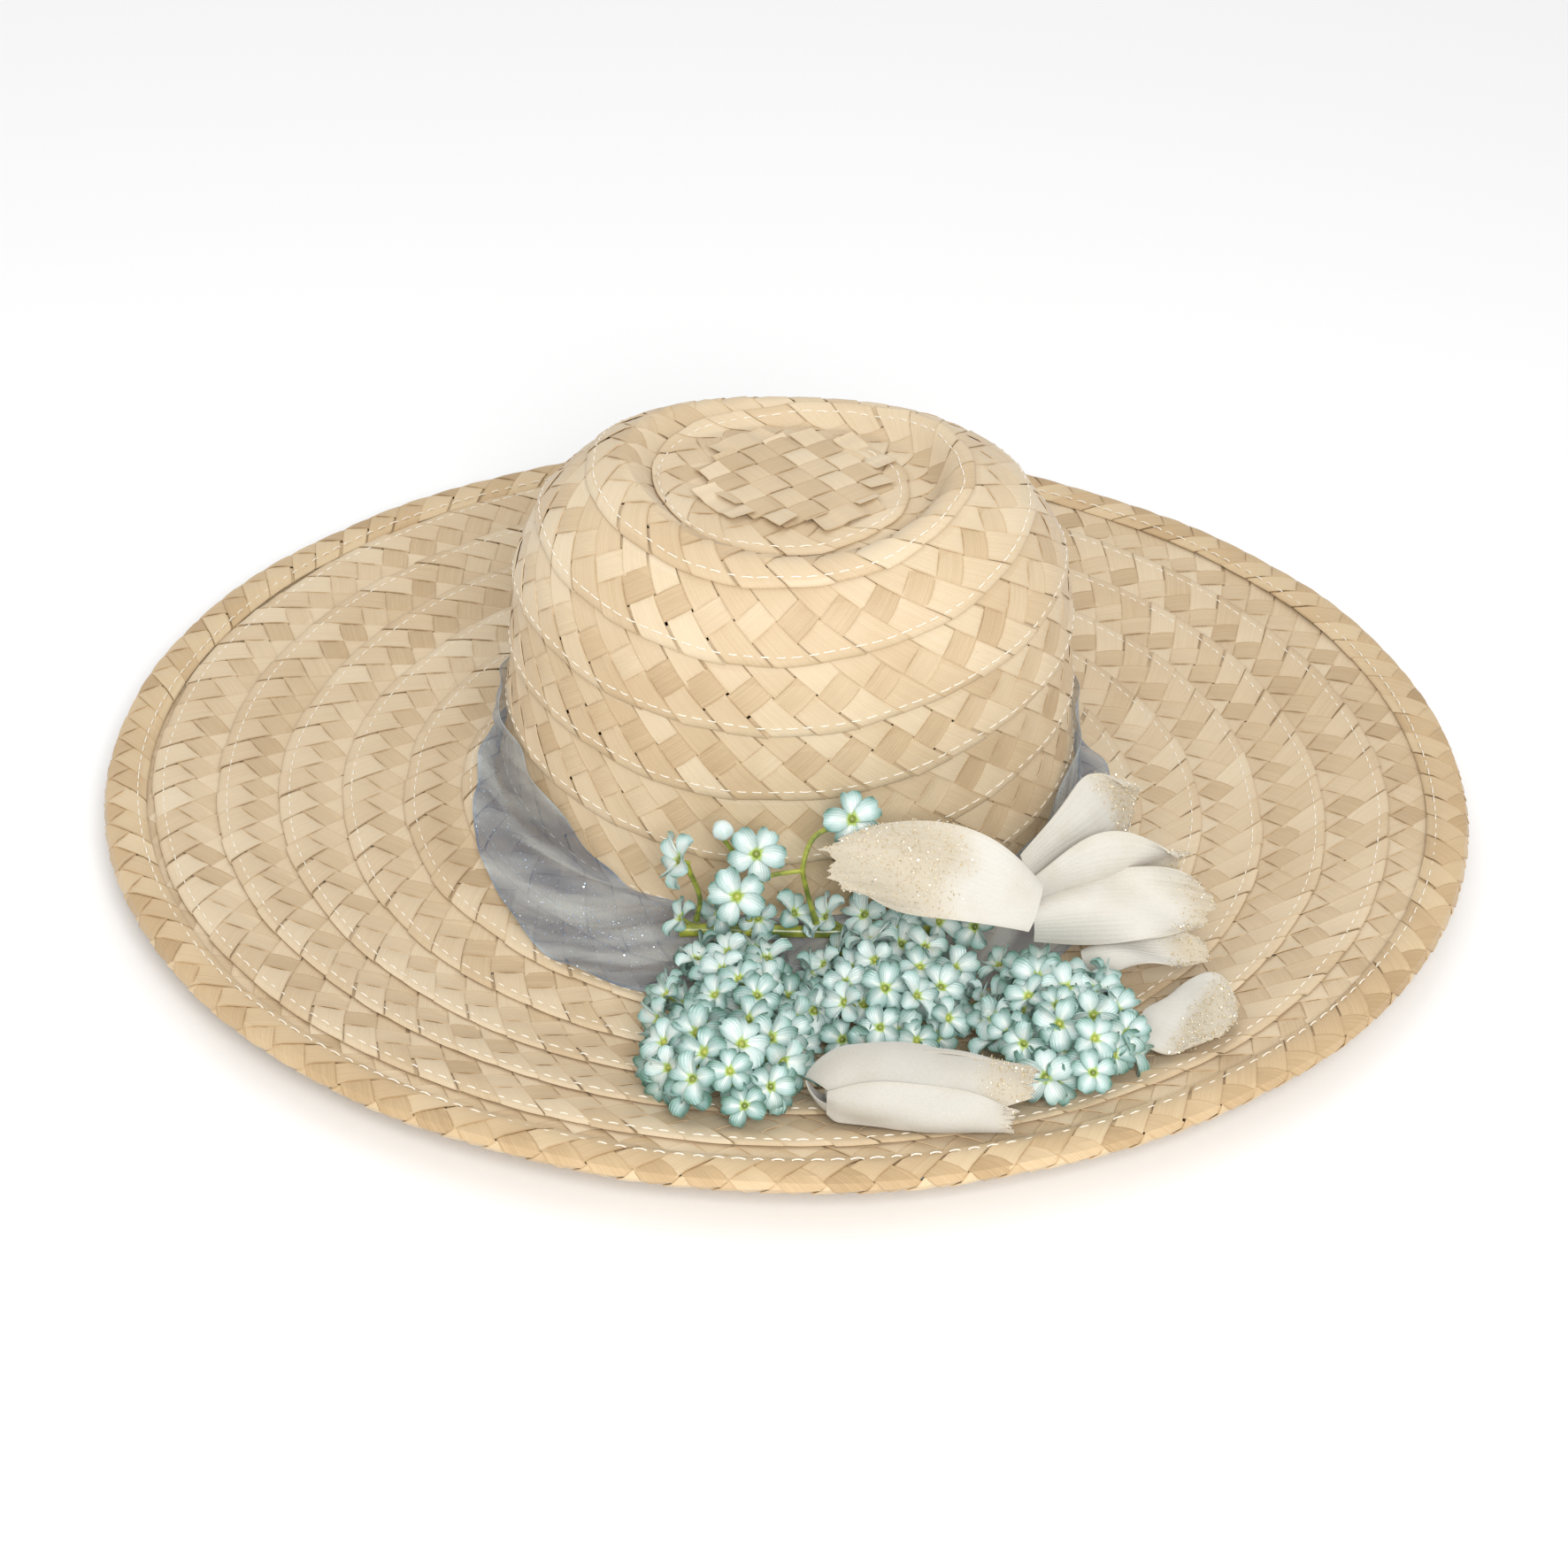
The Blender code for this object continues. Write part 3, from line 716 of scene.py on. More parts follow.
@dataclass
class HatShape:
    """The hat's blocked surface; the sizes are those of the CAD part."""

    brim_radius: float = 0.250
    crown_half_width: float = 0.104
    crown_half_depth: float = 0.088
    crown_height: float = 0.140
    wall_lean: float = math.radians(4)
    shoulder_radius: float = 0.057
    break_radius: float = 0.008
    dent_inner: float = 0.047
    dent_outer: float = 0.061
    dent_depth: float = 0.014
    break_height: float = 0.005
    dip_inner: float = 0.128
    dip_outer: float = 0.146
    edge_rise: float = 0.020
    edge_rise_back: float = 0.008
    rise_fade: float = 1.0
    samples_round: int = 240
    samples_along: int = 1300

    def __post_init__(self) -> None:
        """Work out the surface once, on a table of directions and distances."""
        front = self._meridian(0.0)
        self.edge = float(front[2][-1])
        self.foot = float(front[2][front[3]])
        self.steps = np.linspace(0.0, self.edge, self.samples_along)
        radius, height, foot = [], [], []
        for theta in np.linspace(0.0, TURN, self.samples_round + 1):
            r, z, length, at_foot = self._meridian(theta)
            length = length * self.edge / length[-1]
            radius.append(np.interp(self.steps, length, r))
            height.append(np.interp(self.steps, length, z))
            foot.append(length[at_foot])
        self.table = np.stack([np.array(radius), np.array(height)], -1)
        self.foot_table = np.array(foot)
        ahead = np.gradient(self.table, axis=1)
        kernel = np.ones(5) / 5
        for axis in range(2):
            ahead[:, :, axis] = np.apply_along_axis(
                lambda row: np.convolve(np.pad(row, 2, mode="edge"), kernel, "valid"), 1, ahead[:, :, axis])
        self.ahead = ahead / np.linalg.norm(ahead, axis=2, keepdims=True)

    def brim_start(self, theta: Points) -> Points:
        """Return the radius at which the brim leaves the crown."""
        width, depth = self.crown_half_width, self.crown_half_depth
        oval = width * depth / np.hypot(depth * np.sin(theta), width * np.cos(theta))
        return oval + self.break_radius * math.tan((math.pi / 2 - self.wall_lean) / 2)

    def brim_height(self, radius: Points, start: Points, theta: Points) -> Points:
        """Return the brim's height at a radius.

        Args:
            radius: Distance from the middle.
            start: The radius at which the brim leaves the crown.
            theta: The direction.

        Returns:
            The height.
        """
        sink = self.break_height * (1.0 - ease((radius - start) / (self.dip_inner - start)))
        front = np.maximum(0.5 + 0.5 * np.cos(theta), 0.0) ** self.rise_fade
        curl = self.edge_rise_back + (self.edge_rise - self.edge_rise_back) * front
        return sink + curl * ease((radius - self.dip_outer) / (self.brim_radius - self.dip_outer))

    def _meridian(self, theta: float) -> tuple[Points, Points, Points, int]:
        """Return the line from the tip to the rim along one direction.

        Args:
            theta: The direction.

        Returns:
            Radius, height and length along the line, and the number of the point at the crown's foot.
        """
        lean, shoulder, fillet = self.wall_lean, self.shoulder_radius, self.break_radius
        top = self.crown_height + self.break_height
        tangent = fillet * math.tan((math.pi / 2 - lean) / 2)
        start = float(self.brim_start(np.array(theta)))
        foot = start - tangent
        shoulder_z = top - shoulder
        wall_z = shoulder_z + shoulder * math.sin(lean)
        shoulder_r = foot - (wall_z - self.break_height) * math.tan(lean) - shoulder * math.cos(lean)
        flat = np.linspace(0.0, shoulder_r, 90, endpoint=False)
        arc = np.linspace(math.pi / 2, lean, 70)
        wall = np.linspace(wall_z, self.break_height + tangent * math.cos(lean), 30)[1:]
        bend = np.linspace(math.pi + lean, 1.5 * math.pi, 24)[1:]
        brim = np.linspace(start, self.brim_radius, 140)[1:]
        radius = np.concatenate([flat, shoulder_r + shoulder * np.cos(arc),
                                 foot - (wall - self.break_height) * math.tan(lean),
                                 start + fillet * np.cos(bend), brim])
        height = np.concatenate([np.full(len(flat), top), shoulder_z + shoulder * np.sin(arc), wall,
                                 self.break_height + fillet + fillet * np.sin(bend),
                                 self.brim_height(brim, start, theta)])
        dent = ease((self.dent_outer - radius) / (self.dent_outer - self.dent_inner))
        height = height - self.dent_depth * dent * (radius < self.dent_outer)
        length = np.concatenate([[0.0], np.cumsum(np.hypot(np.diff(radius), np.diff(height)))])
        return radius, height, length, len(flat) + len(arc) + len(wall) + len(bend) - 1

    def foot_distance(self, theta: Points) -> Points:
        """Return the distance from the tip to the crown's foot."""
        return np.interp(np.mod(theta, TURN), np.linspace(0.0, TURN, self.samples_round + 1), self.foot_table)

    def place(self, distance: Points, theta: Points, lift: Points) -> tuple[Points, Points]:
        """Return points on the hat and the directions straight out of it.

        Args:
            distance: Distance from the tip, along the surface.
            theta: Direction.
            lift: Height above the surface.

        Returns:
            Points and unit normals, each with the shape of distance and 3.
        """
        distance, theta, lift = np.broadcast_arrays(distance, theta, lift)
        across = np.mod(theta, TURN) / TURN * self.samples_round
        down = np.clip(distance, 0.0, self.edge) / self.edge * (self.samples_along - 1)
        i, k = np.minimum(across.astype(int), self.samples_round - 1), np.minimum(down.astype(int),
                                                                                 self.samples_along - 2)
        fi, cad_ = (across - i)[..., None], (down - k)[..., None]

        def look(table: Points) -> Points:
            """Read a table between its samples."""
            near = table[i, k] * (1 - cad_) + table[i, k + 1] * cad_
            far = table[i + 1, k] * (1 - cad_) + table[i + 1, k + 1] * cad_
            return near * (1 - fi) + far * fi

        spot, ahead = look(self.table), look(self.ahead)
        ahead = ahead / np.linalg.norm(ahead, axis=-1, keepdims=True)
        radial, up = -ahead[..., 1], ahead[..., 0]
        normal = heading(theta) * radial[..., None]
        normal[..., 2] = up
        point = heading(theta) * spot[..., :1]
        point[..., 2] = spot[..., 1]
        return point + normal * lift[..., None], normal

    def over_brim(self, x: float, y: float, lift: float) -> Vector:
        """Return the point straight above the brim at x, y."""
        radius, theta = math.hypot(x, y), math.atan2(-x, -y)
        height = float(self.brim_height(np.array(radius), self.brim_start(np.array(theta)), theta))
        return Vector((x, y, height + lift))


# ---------------------------------------------------------------- the plait
@dataclass
class Plait:
    """A flat plait of four leaf strips that fold over at both edges.

    One unit is a strip that comes from under the inner edge, folds at the outer edge and goes back.
    Flat places are (along the braid, in from the outer edge, up).
    """

    half_cell: float = 0.0075
    thickness: float = 0.00034
    rise: float = 0.00040
    fold_roll: float = 0.0007
    fill: float = 0.980
    pattern: tuple[int, ...] = (1, 1, -1, 1, 1, 1)

    @property
    def width(self) -> float:
        """Return the braid's width."""
        return 4 * self.half_cell

    @property
    def spacing(self) -> float:
        """Return the distance between one unit and the next."""
        return 2 * self.half_cell

    def _rise(self, row: float) -> float:
        """Return how far a strip lies over (+) or under (-) the others at a row number."""
        whole = max(int(math.floor(row)), 0)
        part = row - whole
        here, before = self.pattern[min(whole, 5)], self.pattern[max(min(whole, 5) - 1, 0)]
        after = self.pattern[min(whole + 1, 5)]
        ramp = 1.0 / 3.0
        if part < ramp:
            return (here + before) / 2 + (here - before) / 2 * part / ramp
        if part > 1 - ramp:
            return here + (after - here) / 2 * (part - 1 + ramp) / ramp
        return float(here)

    def unit(self, name: str, left_handed: bool) -> bpy.types.Mesh:
        """Build one unit of strip, flat.

        Args:
            name: The mesh's name.
            left_handed: Whether the surface it will be laid on turns it inside out.

        Returns:
            A closed strip that carries leg, along and across.
        """
        reach, third = self.width, self.half_cell / 3
        turns = sorted([i * third for i in range(-12, 13)] + [-self.fold_roll, self.fold_roll])
        places = [0.0, 1 / 3, 2 / 3, 1.0]
        points, leg, along, across = [], [], [], []
        for t in turns:
            for face, order in ((1, places), (-1, places[::-1])):
                for q in order:
                    spread = 0.5 + (q - 0.5) * self.fill
                    y = abs(t)
                    x = t + self.spacing * spread
                    row = (x + y) / self.spacing if t > 0 else (y - x) / self.spacing + 1
                    z = self.rise * self._rise(row) * (1 if t > 0 else -1) if t else 0.0
                    out = (0.0, 0.0, face * self.thickness / 2 * (1 if t > 0 else -1)) if t else \
                        (0.0, -face * self.thickness / 2, 0.0)
                    points.append((x, y + out[1], z + out[2]))
                    leg.append(1.0 if t > 0 else 0.0)
                    along.append(t + reach)
                    across.append(2 * q - 1)
        ring = 2 * len(places)
        faces = []
        for i in range(len(turns) - 1):
            for k in range(ring):
                a, b = i * ring + k, i * ring + (k + 1) % ring
                c, d = b + ring, a + ring
                rising = turns[i] >= 0
                split = (k < 3) == rising
                faces += [[a, b, d], [b, c, d]] if split else [[a, b, c], [a, c, d]]
        faces += [list(range(ring)), list(range((len(turns) - 1) * ring, len(turns) * ring))]
        mesh = outward(mesh_of(name, np.array(points), faces, leg=leg, along=along, across=across))
        if left_handed:
            mesh.flip_normals()
        return mesh


class PlaitLayer:
    """Lays units of a plait side by side and wraps them on a guide surface."""

    def __init__(self, plait: Plait) -> None:
        """Build the tree.

        Args:
            plait: The plait's sizes.
        """
        self.plait = plait
        self.units = {}
        for left_handed in (True, False):
            obj = bpy.data.objects.new(f"plait_unit_{left_handed}", plait.unit("plait_unit", left_handed))
            bpy.context.scene.collection.objects.link(obj)
            self.units[left_handed] = obj
        g = Grower("plait_layer", {
            "Unit": ("NodeSocketObject", None), "Count": ("NodeSocketInt", 10),
            "First": ("NodeSocketFloat", 0.0), "Spacing": ("NodeSocketFloat", plait.spacing),
            "Start": ("NodeSocketFloat", 0.0), "Length": ("NodeSocketFloat", 1.0),
            "Margin": ("NodeSocketFloat", 0.0015), "Width": ("NodeSocketFloat", plait.width),
            "Unevenness": ("NodeSocketFloat", 0.0010), "Seed": ("NodeSocketInt", 1)})
        line = g.node("GeometryNodeMeshLine", {"mode": "OFFSET"},
                      {"Count": g.input("Count"),
                       "Start Location": g.node("ShaderNodeCombineXYZ", None, {0: g.input("First")}),
                       "Offset": g.node("ShaderNodeCombineXYZ", None, {0: g.input("Spacing")})})
        for n, key in enumerate(("tone", "shift", "slack", "curl")):
            value = g.chance(0.0, 1.0, g.input("Seed") * 10.0 + float(n))
            line = g.node("GeometryNodeStoreNamedAttribute", {"data_type": "FLOAT", "domain": "POINT"},
                          {"Geometry": line, "Name": key, "Value": value})
        unit = g.node("GeometryNodeObjectInfo", None, {"Object": g.input("Unit")}, out="Geometry")
        laid = g.node("GeometryNodeInstanceOnPoints", None, {"Points": line, "Instance": unit})
        real = g.node("GeometryNodeRealizeInstances", None, {0: laid})
        spot = g.node("GeometryNodeInputPosition")
        x, y, z = (g.node("ShaderNodeSeparateXYZ", None, {0: spot}, out=n) for n in range(3))
        uneven, across = g.input("Unevenness"), g.named("across")
        x = x + (g.named("shift") - 0.5) * uneven + across * (g.named("slack") - 0.62) * uneven
        y = y + (g.named("slack") - 0.5) * uneven * (1.0 - y / g.input("Width"))
        wander = g.node("ShaderNodeTexNoise", None, {"Vector": spot, "Scale": 95.0, "Detail": 1.0})
        z = z + abs(across) ** 3.0 * g.named("curl") * uneven * 0.28 + (wander - 0.5) * uneven * 0.55
        margin = g.input("Margin")
        flat = g.node("ShaderNodeCombineXYZ", None, {
            0: (x - g.input("Start")) / g.input("Length"),
            1: (y + margin) / (g.input("Width") + margin * 2.0)})
        sampled = []
        for name in ("position", "surface_up"):
            value = (g.node("GeometryNodeInputPosition") if name == "position"
                     else g.named(name, "FLOAT_VECTOR"))
            sampled.append(g.node("GeometryNodeSampleUVSurface", {"data_type": "FLOAT_VECTOR"}, {
                "Mesh": g.input("Geometry"), "Value": value,
                "Source UV Map": g.named("flat", "FLOAT_VECTOR"), "Sample UV": flat}))
        raised = g.node("ShaderNodeVectorMath", {"operation": "SCALE"}, {0: sampled[1], "Scale": z})
        place = g.node("ShaderNodeVectorMath", {"operation": "ADD"}, {0: sampled[0], 1: raised})
        g.close(g.node("GeometryNodeSetPosition", None, {"Geometry": real, "Position": place}))
        self.grower = g

    def guide(self, name: str, points: Points, normals: Points) -> bpy.types.Mesh:
        """Make a guide surface from a grid.

        Args:
            name: The mesh's name.
            points: Grid of points, along by across by 3.
            normals: Directions straight out, on the same grid.

        Returns:
            The guide, whose map "flat" runs 0 to 1 along and across.
        """
        along, across = points.shape[:2]
        faces = [[i * across + k, (i + 1) * across + k, (i + 1) * across + k + 1, i * across + k + 1]
                 for i in range(along - 1) for k in range(across - 1)]
        mesh = mesh_of(name, points.reshape(-1, 3), faces, surface_up=normals.reshape(-1, 3))
        layer = mesh.uv_layers.new(name="flat")
        corners = np.array(faces).ravel()
        spread = np.stack([corners // across / (along - 1), corners % across / (across - 1)], -1)
        layer.data.foreach_set("uv", spread.astype(np.float32).ravel())
        return mesh

    def lay(self, name: str, guide: bpy.types.Mesh, finish: bpy.types.Material, left_handed: bool,
            **values: float) -> bpy.types.Object:
        """Lay a run of units on a guide.

        Args:
            name: The piece's name.
            guide: The guide surface.
            finish: The straw's material.
            left_handed: Whether the guide turns a unit inside out.
            values: Count, First, Start, Length, Seed and others of the tree's inputs.

        Returns:
            The piece.
        """
        return self.grower.grow(name, guide, {"Unit": self.units[left_handed], "Finish": finish, **values},
                                sharp=38.0)

    def clear(self) -> None:
        """Remove the flat units."""
        for obj in self.units.values():
            bpy.data.objects.remove(obj, do_unlink=True)


class Stitcher:
    """Sews a line of thread along a path: each stitch is a short arch of thread."""

    def __init__(self) -> None:
        """Build the tree."""
        g = Grower("stitch_line", {
            "Spacing": ("NodeSocketFloat", 0.0055), "Stitch Length": ("NodeSocketFloat", 0.0042),
            "Thread Radius": ("NodeSocketFloat", 0.00025), "Arch": ("NodeSocketFloat", 0.00035),
            "Seed": ("NodeSocketInt", 3)})
        line = g.node("GeometryNodeMeshToCurve", None, {"Mesh": g.input("Geometry")})
        line = g.node("GeometryNodeResampleCurve", {"mode": "LENGTH"},
                      {"Curve": line, "Length": g.input("Spacing")})
        half, arch = g.input("Stitch Length") * 0.5, g.input("Arch")
        ends = [g.node("ShaderNodeCombineXYZ", None, {0: half * sign, 2: arch * -1.0})
                for sign in (-1.0, 1.0)]
        crest = g.node("ShaderNodeCombineXYZ", None, {2: arch * 1.6})
        arc = g.node("GeometryNodeCurveQuadraticBezier", None,
                     {"Resolution": 4, "Start": ends[0], "Middle": crest, "End": ends[1]})
        profile = g.node("GeometryNodeCurvePrimitiveCircle", None,
                         {"Resolution": 5, "Radius": g.input("Thread Radius")})
        stitch = g.node("GeometryNodeCurveToMesh", None,
                        {"Curve": arc, "Profile Curve": profile, "Fill Caps": True})
        ahead = g.node("GeometryNodeInputTangent")
        turned = g.node("FunctionNodeAlignRotationToVector", {"axis": "X"}, {"Vector": ahead})
        turned = g.node("FunctionNodeAlignRotationToVector", {"axis": "Z", "pivot_axis": "X"},
                        {"Rotation": turned, "Vector": g.named("surface_up", "FLOAT_VECTOR")})
        size = g.node("ShaderNodeCombineXYZ", None,
                      {0: g.chance(0.75, 1.10, g.input("Seed")), 1: 1.0, 2: 1.0})
        g.close(g.node("GeometryNodeInstanceOnPoints", None,
                       {"Points": line, "Instance": stitch, "Rotation": turned, "Scale": size}))
        self.grower = g

    def sew(self, name: str, points: Points, normals: Points, finish: bpy.types.Material,
            **values: float) -> bpy.types.Object:
        """Sew along a chain of points.

        Args:
            name: The piece's name.
            points: The seam, n by 3.
            normals: Directions straight out of the straw.
            finish: The thread's material.
            values: Other inputs of the tree.

        Returns:
            The piece.
        """
        edges = [(i, i + 1) for i in range(len(points) - 1)]
        host = mesh_of(name, points, [], edges, surface_up=normals)
        return self.grower.grow(name, host, {"Finish": finish, **values})


# ---------------------------------------------------------------- the sewn spiral
@dataclass
class SewnSpiral:
    """Crown and brim: one braid wound from the tip to the rim, each turn lapped over the next."""

    shape: HatShape
    layer: PlaitLayer
    stitcher: Stitcher
    crown_turns: int = 7
    brim_turns: int = 7
    start_turn: float = -6.5
    tip_radius: float = 0.0269
    braid_thickness: float = 0.0012
    crown_lap: float = 0.0035
    brim_lap: float = 0.0075
    lap_ramp: float = 0.003
    gap: float = 0.0003
    braid_inset: float = 0.0046
    seam_inset: float = 0.0034
    guide_step: float = 0.0035
    guide_rows: int = 20

    def __post_init__(self) -> None:
        """Work out the spiral's pitch and its length at each turn number."""
        self.first = self.tip_radius + self.crown_lap + self.lap_ramp + self.gap
        foot = self.shape.foot - self.shape.break_radius / 2
        self.crown_pitch = (foot - self.first) / -self.start_turn
        self.first_brim = foot + self.crown_pitch
        self.brim_pitch = (self.shape.edge - self.first_brim) / (self.brim_turns - 1)
        self.turn_table = np.linspace(self.start_turn - 0.45, self.start_turn + 14.35, 9000)
        spot, _ = self.shape.place(self.outer(self.turn_table) - 0.008, TURN * self.turn_table, 0.0)
        ahead = np.linalg.norm(np.diff(spot, axis=0), axis=1)
        self.length_table = np.concatenate([[0.0], np.cumsum(ahead)])
        self.length_table -= np.interp(self.start_turn, self.turn_table, self.length_table)

    def outer(self, turn: Points) -> Points:
        """Return the distance of the braid's outer edge at turn numbers, with a sewn seam's wander."""
        crown = self.first + self.crown_pitch * (turn - self.start_turn)
        brim = self.first_brim + self.brim_pitch * (turn - 1.0)
        wander = 0.00055 * np.sin(TURN * turn * 3.07 + 1) + 0.00040 * np.sin(TURN * turn * 7.31 + 2)
        wander = wander + 0.00022 * np.sin(TURN * turn * 16.7 + 0.5)
        return np.minimum(np.where(turn <= 1.0, crown, brim) + wander, self.shape.edge - self.braid_inset)

    def lap(self, turn: Points) -> Points:
        """Return how far the braid lies over its next turn."""
        return self.crown_lap + (self.brim_lap - self.crown_lap) * np.clip(turn, 0.0, 1.0)

    def lift(self, turn: Points, inward: Points, width: Points) -> Points:
        """Return how high the middle of the braid lies.

        Args:
            turn: Turn numbers.
            inward: Distance in from the outer edge.
            width: The braid's width there.

        Returns:
            The lift above the blocked surface.
        """
        pitch = width - self.lap(turn)
        last = 1.0 - ease((turn - 6.35) / 0.3)
        share = np.clip((pitch - inward) / np.maximum(pitch - self.lap(turn), 0.004), 0.0, 1.0)
        return self.braid_thickness / 2 + (self.braid_thickness + self.gap) * share * last

    def surface(self, turn: Points, inward: Points) -> tuple[Points, Points]:
        """Return points and normals on the middle of the braid.

        Args:
            turn: Turn numbers.
            inward: Distance in from the outer edge, on a braid of full width.

        Returns:
            Points and normals.
        """
        outer = self.outer(turn)
        inner = np.maximum(self.outer(turn - 1.0) - self.lap(turn - 1.0), 0.004)
        width = outer - inner
        inward = inward * width / self.layer.plait.width
        return self.shape.place(np.maximum(outer - inward, 0.002), TURN * turn,
                                self.lift(turn, inward, width))

    def build_turn(self, node: str, first_turn: float, finish: bpy.types.Material, seed: int) -> None:
        """Build one turn of plait, from a turn number on.

        Args:
            node: The CAD node that it stands for.
            first_turn: The turn number at which it begins.
            finish: The straw's material.
            seed: The seed for the strips' unevenness.
        """
        spacing, width, margin = self.layer.plait.spacing, self.layer.plait.width, 0.0015
        low, high = np.interp([first_turn, first_turn + 1.0], self.turn_table, self.length_table)
        units = np.arange(math.ceil(low / spacing), math.ceil(high / spacing))
        start, end = low - 0.040, high + 0.066
        along = np.linspace(start, end, int((end - start) / self.guide_step))
        turn = np.interp(along, self.length_table, self.turn_table)
        inward = np.linspace(-margin, width + margin, self.guide_rows)
        points, normals = self.surface(turn[:, None], inward[None, :])
        guide = self.layer.guide(f"{node}_guide", points, normals)
        piece = self.layer.lay(f"{node}_plait", guide, finish, True, Count=len(units),
                               First=float(units[0] * spacing), Start=float(start),
                               Length=float(end - start), Margin=margin, Seed=seed)
        settle(piece, "straw", node)

    def build_seam(self, name: str, first_turn: float, last_turn: float, finish: bpy.types.Material,
                   seed: int) -> None:
        """Sew the seam near the braid's outer edge.

        Args:
            name: The piece's name.
            first_turn: Turn number of its start.
            last_turn: Turn number of its end.
            finish: The thread's material.
            seed: The seed for the stitches' lengths.
        """
        turn = np.linspace(first_turn, last_turn, int((last_turn - first_turn) * 300))
        points, normals = self.surface(turn, np.full_like(turn, self.seam_inset))
        settle(self.stitcher.sew(name, points + normals * 0.00062, normals, finish, Seed=seed), "straw")

    def build_tip(self, finish: bpy.types.Material) -> None:
        """Plait the rough round patch that closes the tip."""
        half, thick, rise = 0.0074, 0.00034, 0.00045
        floor = self.shape.crown_height + self.shape.break_height - self.shape.dent_depth
        base = floor + self.braid_thickness + self.gap + 0.0013
        rng = np.random.default_rng(41)
        points, faces, leg, along, across, tone = [], [], [], [], [], []
        cell = half * math.sqrt(2)
        for family, angle in enumerate((math.radians(38), math.radians(128))):
            for n in range(-3, 4):
                offset = (n + rng.uniform(-0.05, 0.05)) * cell
                inside = (self.tip_radius + 0.0045) ** 2 - (abs(offset) - cell * 0.3) ** 2
                if inside <= 0:
                    continue
                reach = math.sqrt(inside) * 0.97
                ends = (-reach * rng.uniform(0.90, 1.0), reach * rng.uniform(0.90, 1.0))
                strip_tone, rows, slant = rng.uniform(), 22, rng.uniform(-0.25, 0.25)
                first = len(points)
                for i in range(rows + 1):
                    t = ends[0] + (ends[1] - ends[0]) * i / rows
                    for face, order in ((1, (-1, -0.34, 0.34, 1)), (-1, (1, 0.34, -0.34, -1))):
                        for q in order:
                            s = t + slant * q * cell * 0.4 * abs(2 * i / rows - 1)
                            a, b = s, offset + q * cell * 0.47
                            sign = math.sin(math.pi * (a / cell + 0.5)) * (-1) ** (n + 3) * (1 - 2 * family)
                            z = base + rise * max(-1.0, min(1.0, sign * 2.2)) + face * thick / 2
                            z += 0.0009 * abs(2 * i / rows - 1) ** 8 * strip_tone
                            points.append((a * math.cos(angle) - b * math.sin(angle),
                                           a * math.sin(angle) + b * math.cos(angle), z))
                            leg.append(float(family))
                            along.append(t + 0.03)
                            across.append(float(q))
                            tone.append(strip_tone)
                for i in range(rows):
                    for k in range(8):
                        a, b = first + i * 8 + k, first + i * 8 + (k + 1) % 8
                        faces.append([a, b, b + 8, a + 8])
                faces += [list(range(first, first + 8)), list(range(first + rows * 8, first + rows * 8 + 8))]
        mesh = outward(mesh_of("crown_tip_patch", np.array(points), faces, leg=leg, along=along,
                               across=across, tone=tone))
        settle(put("crown_tip_patch", mesh, finish), "straw", "crown_tip_button")

    def build(self, straw: bpy.types.Material, thread: bpy.types.Material) -> None:
        """Build the tip, every turn and the seams.

        Args:
            straw: The straw's material.
            thread: The thread's material.
        """
        self.build_tip(straw)
        for n in range(self.crown_turns):
            self.build_turn(f"crown_turn_{n + 1}", self.start_turn + n, straw, 11 + n)
        for n in range(self.brim_turns):
            self.build_turn(f"brim_turn_{n + 1}", self.start_turn + self.crown_turns + n, straw, 31 + n)
        self.build_seam("crown_seam", -6.35, 0.5, thread, 3)
        self.build_seam("brim_seam", 0.5, 6.72, thread, 4)


